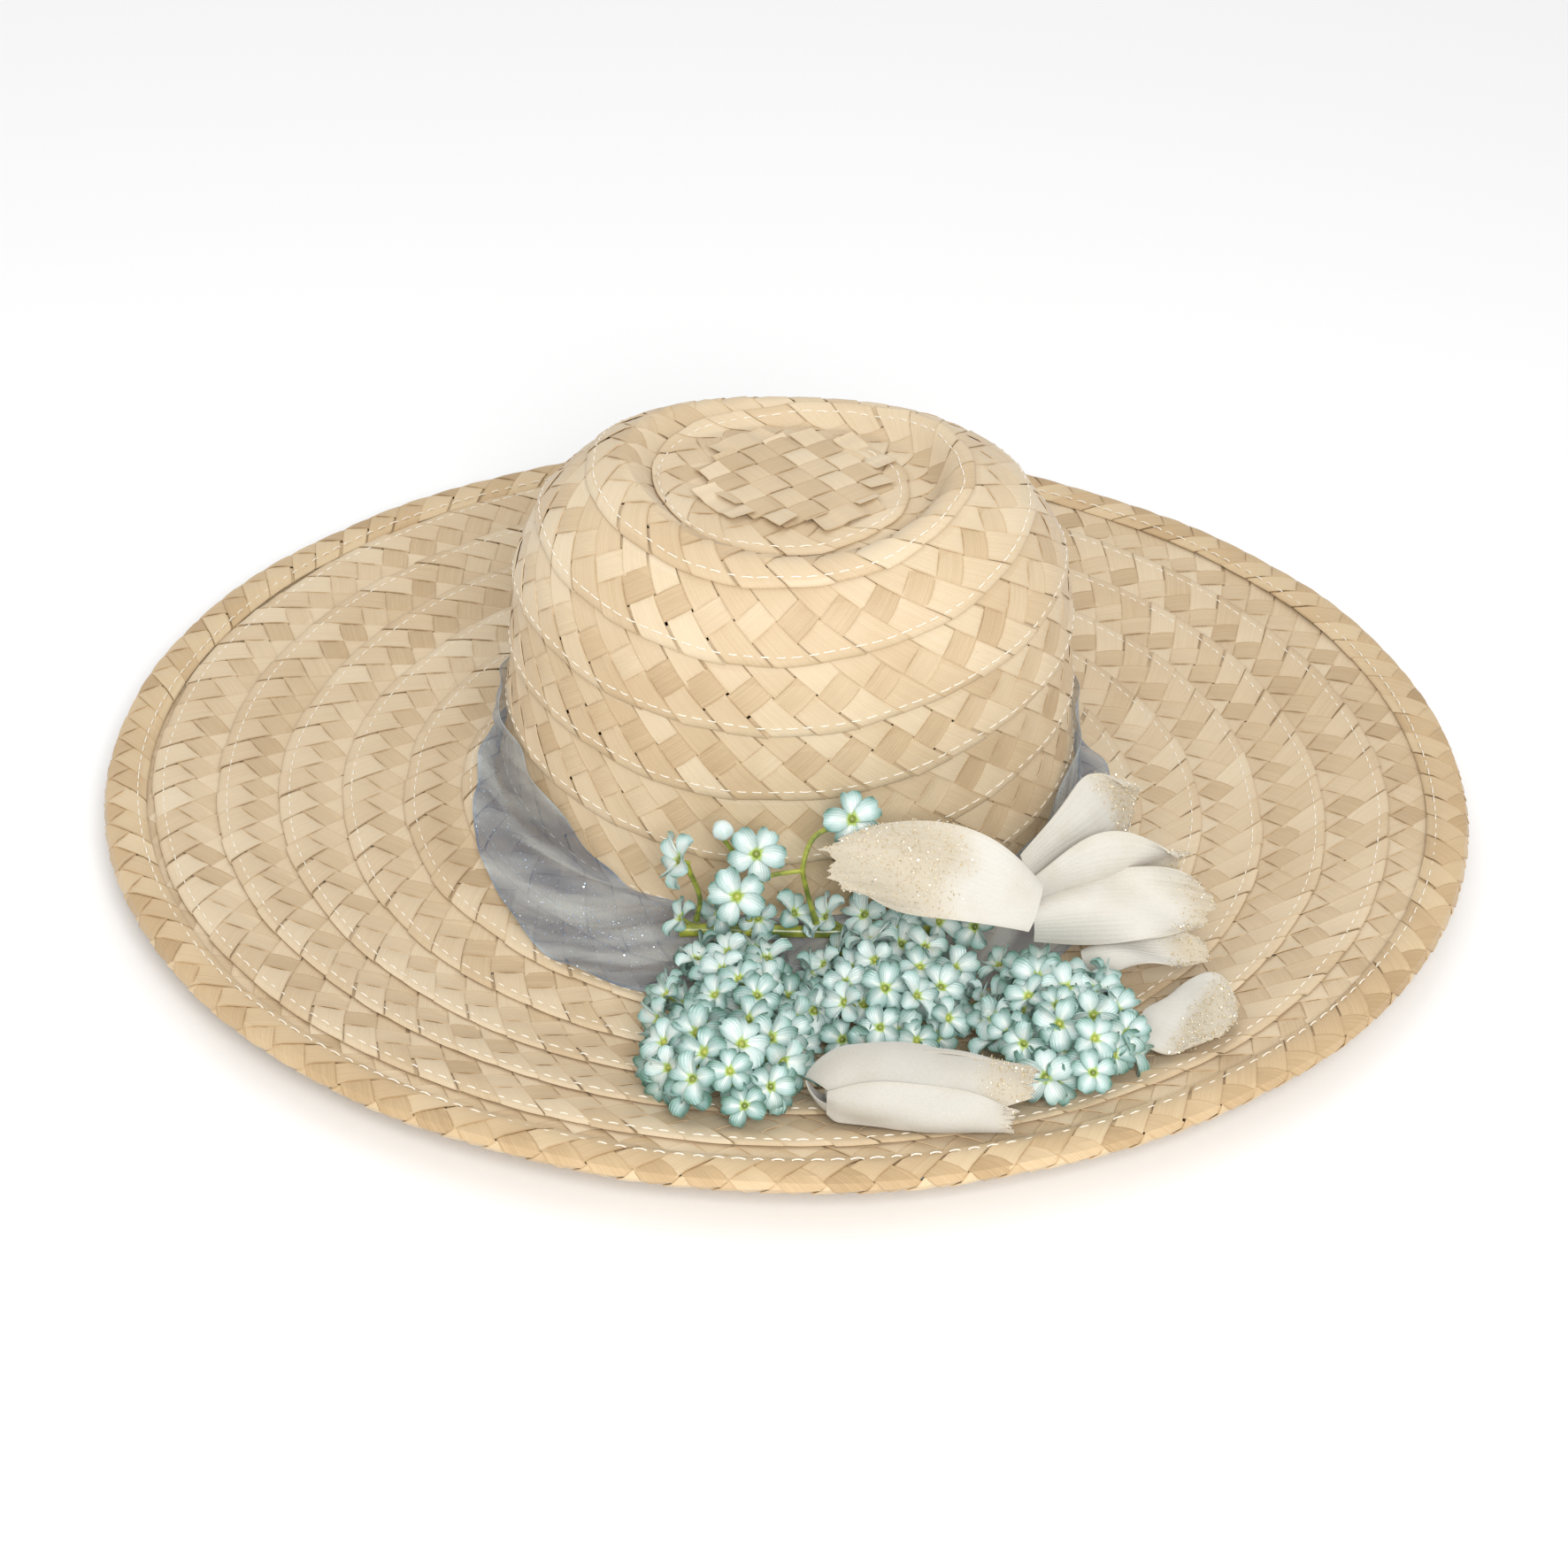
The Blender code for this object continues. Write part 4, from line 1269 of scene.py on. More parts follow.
@dataclass
class RimBinding:
    """The rim: a braid folded over the edge of the brim, around a wire, and stitched down."""

    shape: HatShape
    layer: PlaitLayer
    stitcher: Stitcher
    width_top: float = 0.015
    width_below: float = 0.011
    roll_width: float = 0.0027
    roll_height: float = 0.00245
    middle: float = 0.00135
    units: int = 104

    def section(self) -> tuple[Points, Points, Points, Points]:
        """Return the folded section from its upper inner edge round to its lower inner edge.

        Returns:
            Distance from the tip, lift, and the two parts of the outward direction (away, up).
        """
        centre = self.shape.edge - 0.0006 - self.roll_width
        top = np.linspace(self.shape.edge - self.width_top, centre, 12, endpoint=False)
        arc = np.linspace(math.pi / 2, -math.pi / 2, 20)
        below = np.linspace(centre, self.shape.edge - self.width_below, 9)[1:]
        dip = 0.0015 * (1 - ease((top - top[0]) / 0.006))
        distance = np.concatenate([top, centre + self.roll_width * np.cos(arc), below])
        lift = np.concatenate([self.middle + self.roll_height - dip,
                               self.middle + self.roll_height * np.sin(arc),
                               np.full(len(below), self.middle - self.roll_height)])
        ahead = np.stack([np.gradient(distance), np.gradient(lift)], -1)
        ahead /= np.linalg.norm(ahead, axis=1, keepdims=True)
        return distance, lift, -ahead[:, 1], ahead[:, 0]

    def build(self, straw: bpy.types.Material, thread: bpy.types.Material,
              steel: bpy.types.Material) -> None:
        """Build the binding, its stitches and the wire's finish.

        Args:
            straw: The binding's straw.
            thread: The thread's material.
            steel: The wire's material.
        """
        distance, lift, away, up = self.section()
        length = np.concatenate([[0.0], np.cumsum(np.hypot(np.diff(distance), np.diff(lift)))])
        margin, width = 0.0015, self.layer.plait.width
        share = np.clip(np.linspace(-margin, width + margin, 44) / width, 0.0, 1.0) * length[-1]
        distance, lift, away, up = (np.interp(share, length, line) for line in (distance, lift, away, up))
        # the margins of the guide repeat the edge, a hair further on, so that its map keeps its spread
        distance[0] -= 0.0006
        distance[-1] -= 0.0006
        spacing = self.layer.plait.spacing
        start, end = -0.045, self.units * spacing + 0.045
        along = np.linspace(start, end, 700)
        theta = (along / (self.units * spacing) * TURN)[:, None] + math.pi
        roll = 0.00035 * np.sin(along[:, None] * 31.0) + 0.00025 * np.sin(along[:, None] * 73.0 + 1)
        spot, normal = self.shape.place(distance[None, :], theta, lift[None, :] + roll)
        tangent = np.cross(normal, np.cross(heading(theta[:, 0])[:, None, :] * np.ones_like(normal), normal))
        tangent /= np.linalg.norm(tangent, axis=2, keepdims=True)
        out = normal * up[None, :, None] + tangent * away[None, :, None]
        guide = self.layer.guide("rim_binding_guide", spot, out)
        piece = self.layer.lay("rim_binding_plait", guide, straw, False, Count=self.units, First=0.0,
                               Start=float(start), Length=float(end - start), Margin=margin, Seed=71)
        settle(piece, "straw_binding", "rim_binding")
        theta = np.linspace(0.0, TURN, 900)
        seam = self.shape.edge - self.width_top + 0.0032 + 0.0004 * np.sin(theta * 9)
        spot, normal = self.shape.place(seam, theta, self.middle + self.roll_height + 0.0003)
        settle(self.stitcher.sew("rim_seam", spot, normal, thread, Spacing=0.0062, Seed=9), "straw_binding")
        dress_node("rim_wire", steel)


def dress_node(node: str, finish: bpy.types.Material) -> None:
    """Give a kept CAD node a finish of its own."""
    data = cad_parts[node].data
    data.materials.clear()
    data.materials.append(finish)
    log.info("%s: kept, new finish", node)


# ---------------------------------------------------------------- glitter
class Glitterer:
    """Scatters small flakes over a surface where its glue attribute says so."""

    def __init__(self) -> None:
        """Build the tree."""
        g = Grower("glitter_scatter", {
            "Per Square Metre": ("NodeSocketFloat", 900000.0), "Flake Radius": ("NodeSocketFloat", 0.00042),
            "Lift": ("NodeSocketFloat", 0.0003), "Seed": ("NodeSocketInt", 5)})
        points = g.node("GeometryNodeDistributePointsOnFaces", {"distribute_method": "RANDOM"}, {
            "Mesh": g.input("Geometry"), "Density": g.named("glue") * g.input("Per Square Metre"),
            "Seed": g.input("Seed")})
        spread = g.node("GeometryNodeSetPosition", None, {
            "Geometry": points,
            "Offset": g.node("ShaderNodeCombineXYZ", None, {
                n: g.chance(g.input("Lift") * -0.6, g.input("Lift"), 20 + n) for n in range(3)})})
        flake = g.node("GeometryNodeMeshCone", None, {
            "Vertices": 4, "Radius Bottom": g.input("Flake Radius"), "Depth": g.input("Flake Radius") * 0.7})
        turned = g.node("ShaderNodeCombineXYZ", None, {n: g.chance(0.0, TURN, 30 + n) for n in range(3)})
        g.close(g.node("GeometryNodeInstanceOnPoints", None, {
            "Points": spread, "Instance": flake, "Rotation": turned, "Scale": g.chance(0.4, 1.25, 7)}),
            smooth=False)
        self.grower = g

    def scatter(self, name: str, surface: bpy.types.Mesh, finish: bpy.types.Material,
                **values: float) -> bpy.types.Object:
        """Scatter flakes over a mesh.

        Args:
            name: The piece's name.
            surface: The mesh, which carries glue.
            finish: The flakes' material.
            values: Other inputs of the tree.

        Returns:
            The flakes.
        """
        return self.grower.grow(name, surface.copy(), {"Finish": finish, **values})


# ---------------------------------------------------------------- the organza band
@dataclass
class OrganzaBand:
    """A sheer band round the crown that sweeps out over the front of the brim."""

    shape: HatShape
    glitterer: Glitterer
    width: float = 0.050
    thickness: float = 0.00022
    lift: float = 0.0042
    rest: float = 0.003
    sweep: float = 0.041
    sweep_at: float = math.radians(-8)
    sweep_spread: float = math.radians(66)
    rounds: int = 360
    rows: int = 40

    def grid(self) -> Points:
        """Return the band's middle surface with its soft folds."""
        theta = np.linspace(0.0, TURN, self.rounds, endpoint=False)[:, None]
        share = np.linspace(0.0, 1.0, self.rows)[None, :]
        away = np.mod(theta - self.sweep_at + math.pi, TURN) - math.pi
        swept = self.sweep * np.exp(-(away / self.sweep_spread) ** 4)
        low = self.shape.foot_distance(theta) + self.rest + swept
        distance = low - self.width * share + 0.0008 * np.sin(theta * 11 + 1)
        slant = theta * 1.0 + share * 0.55
        folds = np.sin(slant * 7 + 0.4) ** 3 + 0.7 * np.sin(slant * 16 + 2.0) * (0.4 + share)
        folds = folds + 0.35 * np.sin(slant * 37 + share * 9)
        lift = self.lift + 0.0011 * folds * (0.45 + 0.55 * np.sin(math.pi * share)) + 0.0009
        hem = 0.0011 * np.sin(theta * 23 + 2) * (np.exp(-share * 14) + np.exp(-(1 - share) * 14))
        return self.shape.place(distance, theta, np.maximum(lift + hem, 0.0034))[0]

    def build(self, organza: bpy.types.Material, glitter: bpy.types.Material) -> None:
        """Build the band and its glitter.

        Args:
            organza: The band's material.
            glitter: The flakes' material.
        """
        grid = self.grid()
        theta = np.linspace(0.0, 360.0, self.rounds, endpoint=False)[:, None]
        share = np.linspace(0.0, 1.0, self.rows)[None, :]
        drift = (34 - theta) * 0.008
        glue = np.exp(-((theta - 34) / 13) ** 2) * np.exp(-((share - 0.42 - drift) / 0.22) ** 2)
        glue = np.maximum(glue, 0.22 * np.exp(-((theta - 68) / 24) ** 2) * (share < 0.4))
        mesh = cloth_shell("organza_band_cloth", grid, self.thickness, closed=True, glue=glue)
        band = put("organza_band_cloth", mesh, organza, 80.0)
        settle(band, "organza", "organza_band")
        flakes = self.glitterer.scatter("band_glitter", mesh, glitter, Seed=17, Lift=0.0002,
                                        **{"Per Square Metre": 260000.0, "Flake Radius": 0.00036})
        settle(flakes, "organza")
        middle = grid[:, self.rows // 2]
        length = float(np.linalg.norm(np.roll(middle, -1, 0) - middle, axis=1).sum())
        log.info("band: %.3f m long", length)


# ---------------------------------------------------------------- the flowers
@dataclass
class Blossoms:
    """Small five-petalled satin blossoms on stalks, in three clusters and on free sprigs."""

    shape: HatShape
    petal_length: float = 0.0094
    petal_width: float = 0.0076
    petal_thickness: float = 0.00034
    stalk: float = 0.006
    stem_row: float = -0.1165
    least_lift: float = 0.0104
    least_lift_over_stem: float = 0.0185

    def petal(self) -> bpy.types.Mesh:
        """Build one cupped, two-lobed petal that grows out of the eye along +X."""
        rows, cols = 5, 5
        grid = np.zeros((rows, cols, 3))
        for i in range(rows):
            for k in range(cols):
                t, s = i / (rows - 1), 2 * k / (cols - 1) - 1
                half = self.petal_width / 2 * (0.16 + 0.84 * math.sin(math.pi * min(0.08 + 0.60 * t, 0.62)))
                notch = 0.14 * t ** 3 * (1 - abs(s)) ** 1.2 + 0.13 * t ** 3 * max(abs(s) - 0.5, 0) * 2
                reach = 0.0007 + self.petal_length * (t - notch)
                cup = 0.0021 * s * s * (0.3 + t) - 0.0006 * (1 - abs(s)) ** 2 * t
                rise = 0.0016 * math.sin(math.pi * 0.8 * t) + cup - 0.0010 * t ** 3
                grid[i, k] = (reach, half * s * (1 - 0.10 * t ** 4), rise)
        share = np.tile(np.linspace(-1, 1, cols), (rows, 1))
        return cloth_shell("blossom_petal", grid, self.petal_thickness, across=share)

    def grower(self) -> Grower:
        """Build the tree that sets a blossom with its eye and stalk on every point."""
        g = Grower("blossom_scatter", {
            "Petal": ("NodeSocketObject", None), "Petals": ("NodeSocketInt", 5),
            "Eye Radius": ("NodeSocketFloat", 0.00125), "Stalk Length": ("NodeSocketFloat", self.stalk),
            "Stalk Radius": ("NodeSocketFloat", 0.0006), "Green": ("NodeSocketMaterial", None),
            "Seed": ("NodeSocketInt", 2)})
        hub = g.node("GeometryNodeMeshLine", {"mode": "OFFSET"},
                     {"Count": g.input("Petals"), "Offset": (0.0, 0.0, 0.00004)})
        index = g.node("GeometryNodeInputIndex")
        spin = index * TURN / g.input("Petals") + g.chance(-0.13, 0.13, g.input("Seed"))
        tilt = g.node("ShaderNodeCombineXYZ", None, {
            0: g.chance(-0.20, 0.20, 12), 1: g.chance(-0.26, 0.10, 13), 2: spin})
        petal = g.node("GeometryNodeObjectInfo", None, {"Object": g.input("Petal")}, out="Geometry")
        ring = g.node("GeometryNodeInstanceOnPoints", None,
                      {"Points": hub, "Instance": petal, "Rotation": tilt, "Scale": g.chance(0.90, 1.06, 15)})
        ring = g.node("GeometryNodeSetMaterial", None, {"Geometry": ring, "Material": g.input("Finish")})
        eye = g.node("GeometryNodeMeshIcoSphere", None, {"Radius": g.input("Eye Radius"), "Subdivisions": 2})
        eye = g.node("GeometryNodeTransform", None,
                     {"Geometry": eye, "Translation": (0.0, 0.0, 0.0007), "Scale": (1.0, 1.0, 0.75)})
        stalk = g.node("GeometryNodeMeshCylinder", None, {
            "Vertices": 6, "Radius": g.input("Stalk Radius"), "Depth": g.input("Stalk Length")})
        stalk = g.node("GeometryNodeTransform", None, {
            "Geometry": stalk,
            "Translation": g.node("ShaderNodeCombineXYZ", None, {2: g.input("Stalk Length") * -0.5})})
        green = g.node("GeometryNodeJoinGeometry", None, {0: eye})
        g.tree.links.new(stalk.socket, green.socket.node.inputs[0])
        green = g.node("GeometryNodeSetMaterial", None, {"Geometry": green, "Material": g.input("Green")})
        whole = g.node("GeometryNodeJoinGeometry", None, {0: ring})
        g.tree.links.new(green.socket, whole.socket.node.inputs[0])
        turned = g.node("FunctionNodeAxisAngleToRotation", None,
                        {"Axis": (0.0, 0.0, 1.0), "Angle": g.named("spin")})
        turned = g.node("FunctionNodeAlignRotationToVector", {"axis": "Z"},
                        {"Rotation": turned, "Vector": g.named("facing", "FLOAT_VECTOR")})
        laid = g.node("GeometryNodeInstanceOnPoints", None, {
            "Points": g.input("Geometry"), "Instance": whole, "Rotation": turned, "Scale": g.named("size")})
        real = g.node("GeometryNodeRealizeInstances", None, {0: laid})
        self._end(g, real)
        return g

    @staticmethod
    def _end(g: Grower, real: Wire) -> None:
        """Close a tree whose parts already carry their own finishes."""
        shaded = g.node("GeometryNodeSetShadeSmooth", None, {"Geometry": real, "Shade Smooth": True})
        g.node("NodeGroupOutput", None, {0: shaded})

    def cluster(self, centre: tuple[float, float], half: tuple[float, float], turned: float, height: float,
                placed: list[tuple[float, float]], seed: int) -> dict[str, list]:
        """Choose where the blossoms of one cluster stand.

        Args:
            centre: Middle of the cluster in plan.
            half: Its half sizes in plan.
            turned: Its turn in plan, in radians.
            height: Its height over the band.
            placed: Blossoms of the upper layer that stand at known places.
            seed: The seed for the rest.

        Returns:
            Points and their facing, spin, size and tone.
        """
        rng = np.random.default_rng(seed)
        cos_t, sin_t = math.cos(turned), math.sin(turned)
        chosen = []
        for layer, (spacing, shrink) in enumerate(((0.0106, 0.0), (0.0100, 0.0070))):
            mine = [(x, y) for x, y in placed] if layer == 0 else []
            for _ in range(1600):
                a, r = rng.uniform(0, TURN), math.sqrt(rng.uniform())
                u, v = half[0] * r * math.cos(a), half[1] * r * math.sin(a)
                x, y = centre[0] + u * cos_t - v * sin_t, centre[1] + u * sin_t + v * cos_t
                if all(math.hypot(x - p, y - q) > spacing for p, q in mine):
                    mine.append((x, y))
            chosen += [(x, y, shrink) for x, y in mine]
        result = {"points": [], "facing": [], "spin": [], "size": [], "tone": []}
        for x, y, shrink in chosen:
            u = (x - centre[0]) * cos_t + (y - centre[1]) * sin_t
            v = -(x - centre[0]) * sin_t + (y - centre[1]) * cos_t
            share = min(math.hypot(u / half[0], v / half[1]), 0.99)
            dome = math.sqrt(1 - share * share)
            lift = 0.0075 + height * (0.20 + 0.80 * dome) - shrink + rng.uniform(-0.0014, 0.0014)
            over_stem = y > self.stem_row
            least = self.least_lift_over_stem if over_stem else self.least_lift
            spot = self.shape.over_brim(x, y, max(lift, least))
            lean = Vector((u / half[0] * cos_t - v / half[1] * sin_t,
                           u / half[0] * sin_t + v / half[1] * cos_t, 0))
            lean.y = min(lean.y, 0.0) if over_stem else lean.y
            facing = lean * 0.85 + Vector((0, 0, 0.75 + 0.3 * dome)) + Vector((0, -0.42, 0))
            facing += Vector(rng.normal(0, 0.34, 3).tolist())
            result["points"].append(spot)
            result["facing"].append(facing.normalized())
            result["spin"].append(rng.uniform(0, TURN))
            result["size"].append(rng.uniform(0.78, 1.04))
            # blossoms of the lower layer get a higher tone, which paints them darker: painted shade under the
            # upper layer
            result["tone"].append(min(1.0, rng.uniform(0.0, 0.75) + (0.35 if shrink else 0.0)))
        return result


@dataclass
class FlowerSpray:
    """The spray: taped stem, clusters of blossoms, free sprigs, cloth petals and the rolled rose bud."""

    shape: HatShape
    blossoms: Blossoms
    glitterer: Glitterer
    cloth_thickness: float = 0.0006
    satin: bpy.types.Material = None
    green: bpy.types.Material = None
    cloth: bpy.types.Material = None
    bud_cloth: bpy.types.Material = None
    gold: bpy.types.Material = None

    def build_blossoms(self) -> None:
        """Build the three clusters and the blossoms of the sprigs."""
        mesh = self.blossoms.petal()
        petal = bpy.data.objects.new("blossom_petal", mesh)
        bpy.context.scene.collection.objects.link(petal)
        grower = self.blossoms.grower()
        values = {"Petal": petal, "Finish": self.satin, "Green": self.green}
        clusters = (
            ("blossom_cluster_left", (-0.0175, -0.166), (0.0245, 0.051), 0.0, 0.0195,
             [(-0.020, -0.142), (-0.027, -0.186), (-0.011, -0.175), (0.004, -0.163), (-0.016, -0.207),
              (-0.003, -0.206), (-0.038, -0.139), (-0.028, -0.121), (-0.040, -0.166), (0.010, -0.128),
              (0.011, -0.147), (-0.010, -0.118), (-0.035, -0.109), (-0.022, -0.107), (-0.009, -0.109),
              (0.003, -0.107)], 5),
            ("blossom_cluster_middle", (0.0365, -0.141), (0.0270, 0.0285), 0.0, 0.0185,
             [(0.019, -0.118), (0.040, -0.119), (0.031, -0.135), (0.046, -0.138), (0.058, -0.122),
              (0.055, -0.159), (0.021, -0.156), (0.034, -0.152), (0.067, -0.140), (0.067, -0.156),
              (0.015, -0.108), (0.028, -0.106), (0.041, -0.108), (0.053, -0.106)], 6),
            ("blossom_cluster_right", (0.0925, -0.163), (0.0220, 0.0405), math.radians(8), 0.0185,
             [(0.085, -0.147), (0.075, -0.174), (0.090, -0.181), (0.085, -0.199), (0.104, -0.155),
              (0.087, -0.127), (0.074, -0.124), (0.066, -0.107)], 7),
        )
        for name, centre, half, turned, height, placed, seed in clusters:
            found = self.blossoms.cluster(centre, half, turned, height, placed, seed)
            host = mesh_of(name, np.array(found.pop("points")), [],
                           **{key: np.array(value) for key, value in found.items()})
            settle(grower.grow(f"{name}_blooms", host, {**values, "Seed": seed}, sharp=60.0),
                   "blossom_satin", name)
        sprigs = (("sprig_side", (-0.0352, -0.1150, 0.0490), (-0.85, -0.30, 0.40), 0.3),
                  ("sprig_back", (-0.0100, -0.1120, 0.0505), (0.10, -0.80, 0.58), 1.1),
                  ("sprig_front", (-0.0160, -0.1250, 0.0420), (-0.05, -0.78, 0.62), 0.6),
                  ("sprig_top", (0.0220, -0.1080, 0.0630), (0.15, -0.75, 0.64), 1.9))
        for n, (name, centre, facing, spin) in enumerate(sprigs):
            host = mesh_of(name, np.array([centre]), [], facing=np.array([facing]), spin=[spin],
                           size=[1.10], tone=[0.10 + 0.08 * n])
            piece = grower.grow(f"{name}_bloom", host, {**values, "Seed": 60 + n, "Stalk Length": 0.003},
                                sharp=60.0)
            settle(piece, "blossom_satin", f"{name}_blossom")
        bpy.data.objects.remove(petal, do_unlink=True)

    def build_stems(self) -> None:
        """Build the taped stem, the sprigs' stems and the bud."""
        places = ((-0.036, -0.106), (-0.014, -0.1065), (0.010, -0.1065), (0.038, -0.104), (0.066, -0.098))
        route = [tuple(self.shape.over_brim(x, y, 0.0108)) for x, y in places]
        settle(put("spray_stem_tape", tube("spray_stem_tape", route, 0.0022, 12, swell=0.2), self.green),
               "stem_wrap", "spray_stem")
        stems = (
            ("sprig_side", ((-0.030, -0.1115, 0.022), (-0.029, -0.114, 0.034), (-0.0335, -0.1147, 0.0470))),
            ("sprig_back", ((-0.012, -0.1110, 0.022), (-0.0105, -0.1095, 0.036), (-0.0102, -0.1110, 0.0482))),
            ("sprig_front",
             ((-0.018, -0.1125, 0.022), (-0.0175, -0.1160, 0.034), (-0.0162, -0.1235, 0.0400))),
            ("sprig_top", ((0.011, -0.1115, 0.022), (0.0075, -0.1125, 0.036), (0.0060, -0.1115, 0.0460),
                           (0.0100, -0.1080, 0.0560), (0.0210, -0.1070, 0.0612))),
        )
        for name, knots in stems:
            settle(put(f"{name}_stalk", tube(name, knots, 0.0009, 8, swell=0.5), self.green),
                   "stem_wrap", f"{name}_stem")
        fork = ((-0.0120, -0.1150, 0.0340), (-0.0060, -0.1140, 0.0425), (0.0060, -0.1118, 0.0440))
        settle(put("sprig_fork", tube("sprig_fork", fork, 0.0008, 8), self.green), "stem_wrap")
        calyx = ((-0.0150, -0.1120, 0.0480), (-0.0190, -0.1120, 0.0530), (-0.0213, -0.1120, 0.0570))
        settle(put("sprig_bud_stalk", tube("sprig_bud_stalk", calyx, 0.0008, 8, swell=0.9), self.green),
               "stem_wrap")
        bm = bmesh.new()
        bmesh.ops.create_uvsphere(bm, u_segments=20, v_segments=14, radius=0.0035)
        for vert in bm.verts:
            angle = math.atan2(vert.co.y, vert.co.x)
            vert.co *= 1.0 + 0.10 * math.cos(5 * angle) * (1 - abs(vert.co.z) / 0.0035)
        bmesh.ops.translate(bm, vec=(-0.0215, -0.1120, 0.0600), verts=bm.verts)
        mesh = bpy.data.meshes.new("sprig_bud_head")
        bm.to_mesh(mesh)
        bm.free()
        for key, value in (("along", 0.55), ("across", 0.35), ("tone", 0.35)):
            mesh.attributes.new(key, "FLOAT", "POINT").data.foreach_set("value", [value] * len(mesh.vertices))
        settle(put("sprig_bud_head", mesh, self.satin, 80), "blossom_satin", "sprig_bud")

    def build_petal(self, name: str, root: Vector, belly: Vector, tip: Vector, side: Vector, width: float,
                    glue_from: float, seed: int) -> None:
        """Build one cloth petal with its glitter.

        Args:
            name: The CAD node that it stands for.
            root: Where the petal is sewn in.
            belly: The bend's control point.
            tip: The petal's end.
            side: The direction across the petal.
            width: Its largest width.
            glue_from: The share of its length at which the glitter begins.
            seed: The seed for the frayed edge.
        """
        rng = np.random.default_rng(seed)
        along, across = 44, 30
        t = np.linspace(0, 1, along)[:, None]
        s = np.linspace(-1, 1, across)[None, :]
        spine = root * (1 - t) ** 2 + belly * 2 * t * (1 - t) + tip * t * t
        ahead = np.gradient(spine, axis=0)
        ahead /= np.linalg.norm(ahead, axis=1, keepdims=True)
        side = np.array(side, float)
        side = side - ahead * (ahead @ side)[:, None]
        side /= np.linalg.norm(side, axis=1, keepdims=True)
        out = np.cross(ahead, side)
        flip = np.where(out[:, 2:3] + out[:, 1:2] * -0.6 < 0, -1.0, 1.0)
        out = out * flip
        half = 0.5 * width * (0.30 + 0.70 * np.sin(math.pi * np.minimum(0.12 + 0.72 * t, 1.0)))
        frays = rng.normal(0, 0.018, across)[None, :]
        reach = 1.0 - 0.20 * np.abs(s) ** 2.6 - 0.05 * (1 - np.abs(s)) ** 2 + frays
        length = float(np.linalg.norm(tip - root))
        pull = (t ** 3) * (reach - 1.0) * length
        wave = 0.0024 * np.sin(t * 7 + s * 2.6 + seed) * t + 0.0042 * (s ** 2) * np.sin(t * 3.1 + seed * 0.7)
        curl = 0.0022 * np.abs(s) ** 3 * np.sin(t * 5.0 + seed * 1.7) - 0.0035 * (1 - t) * (s ** 2)
        pleat = 0.00009 * np.sin(s * 34 + 2 * np.sin(t * 3)) * np.sin(math.pi * t)
        grid = spine[:, None, :] + side[:, None, :] * (half * s)[..., None] \
            + ahead[:, None, :] * pull[..., None] + out[:, None, :] * (wave + curl + pleat)[..., None]
        glue = np.clip((t - glue_from) / 0.16 + 0.25 * np.sin(s * 4 + seed), 0, 1)
        glue = glue * (1 - 0.4 * np.abs(s) ** 6)
        mesh = cloth_shell(f"{name}_cloth", grid, self.cloth_thickness, glue=glue)
        piece = settle(put(f"{name}_cloth", mesh, self.cloth, 60), "petal_cloth", name)
        flakes = self.glitterer.scatter(f"{name}_glitter", mesh, self.gold, Seed=seed, Lift=0.0009)
        settle(flakes, "petal_cloth")
        self.declare(grid)

    def declare(self, grid: Points) -> None:
        """Work out the edge vectors of a cloth petal's grid cells; nothing is done with them.

        Args:
            grid: Its middle surface.
        """
        edge_a = grid[1:, :-1] - grid[:-1, :-1]
        edge_b = grid[:-1, 1:] - grid[:-1, :-1]

    def build_petals(self) -> None:
        """Build the loose cloth petals."""
        petals = (
            ("petal_left", (0.085, -0.1290, 0.044), (0.055, -0.1300, 0.066), (0.012, -0.1230, 0.0560),
             (0.10, -0.80, -0.60), 0.034, 0.34, 3),
            ("petal_upper", (0.082, -0.1130, 0.042), (0.105, -0.0930, 0.048), (0.124, -0.0680, 0.0440),
             (0.45, 0.45, 0.75), 0.042, 0.62, 4),
            ("petal_right_upper", (0.084, -0.1160, 0.038), (0.114, -0.1000, 0.042), (0.140, -0.0820, 0.0300),
             (0.35, 0.55, -0.70), 0.027, 0.82, 5),
            ("petal_right_lower", (0.084, -0.1200, 0.034), (0.118, -0.1110, 0.038), (0.148, -0.1030, 0.0240),
             (0.10, 0.75, 0.60), 0.026, 0.78, 6),
            ("petal_right_foot", (0.102, -0.1170, 0.016), (0.120, -0.1180, 0.024), (0.146, -0.1200, 0.0180),
             (0.05, 0.95, 0.20), 0.020, 0.70, 7),
            ("petal_low", (0.121, -0.1500, 0.017), (0.132, -0.1560, 0.024), (0.148, -0.1660, 0.0220),
             (0.55, 0.80, 0.05), 0.045, 0.50, 8),
        )
        for name, root, belly, tip, side, width, glue, seed in petals:
            self.build_petal(name, np.array(root), np.array(belly), np.array(tip), np.array(side), width,
                             glue, seed)

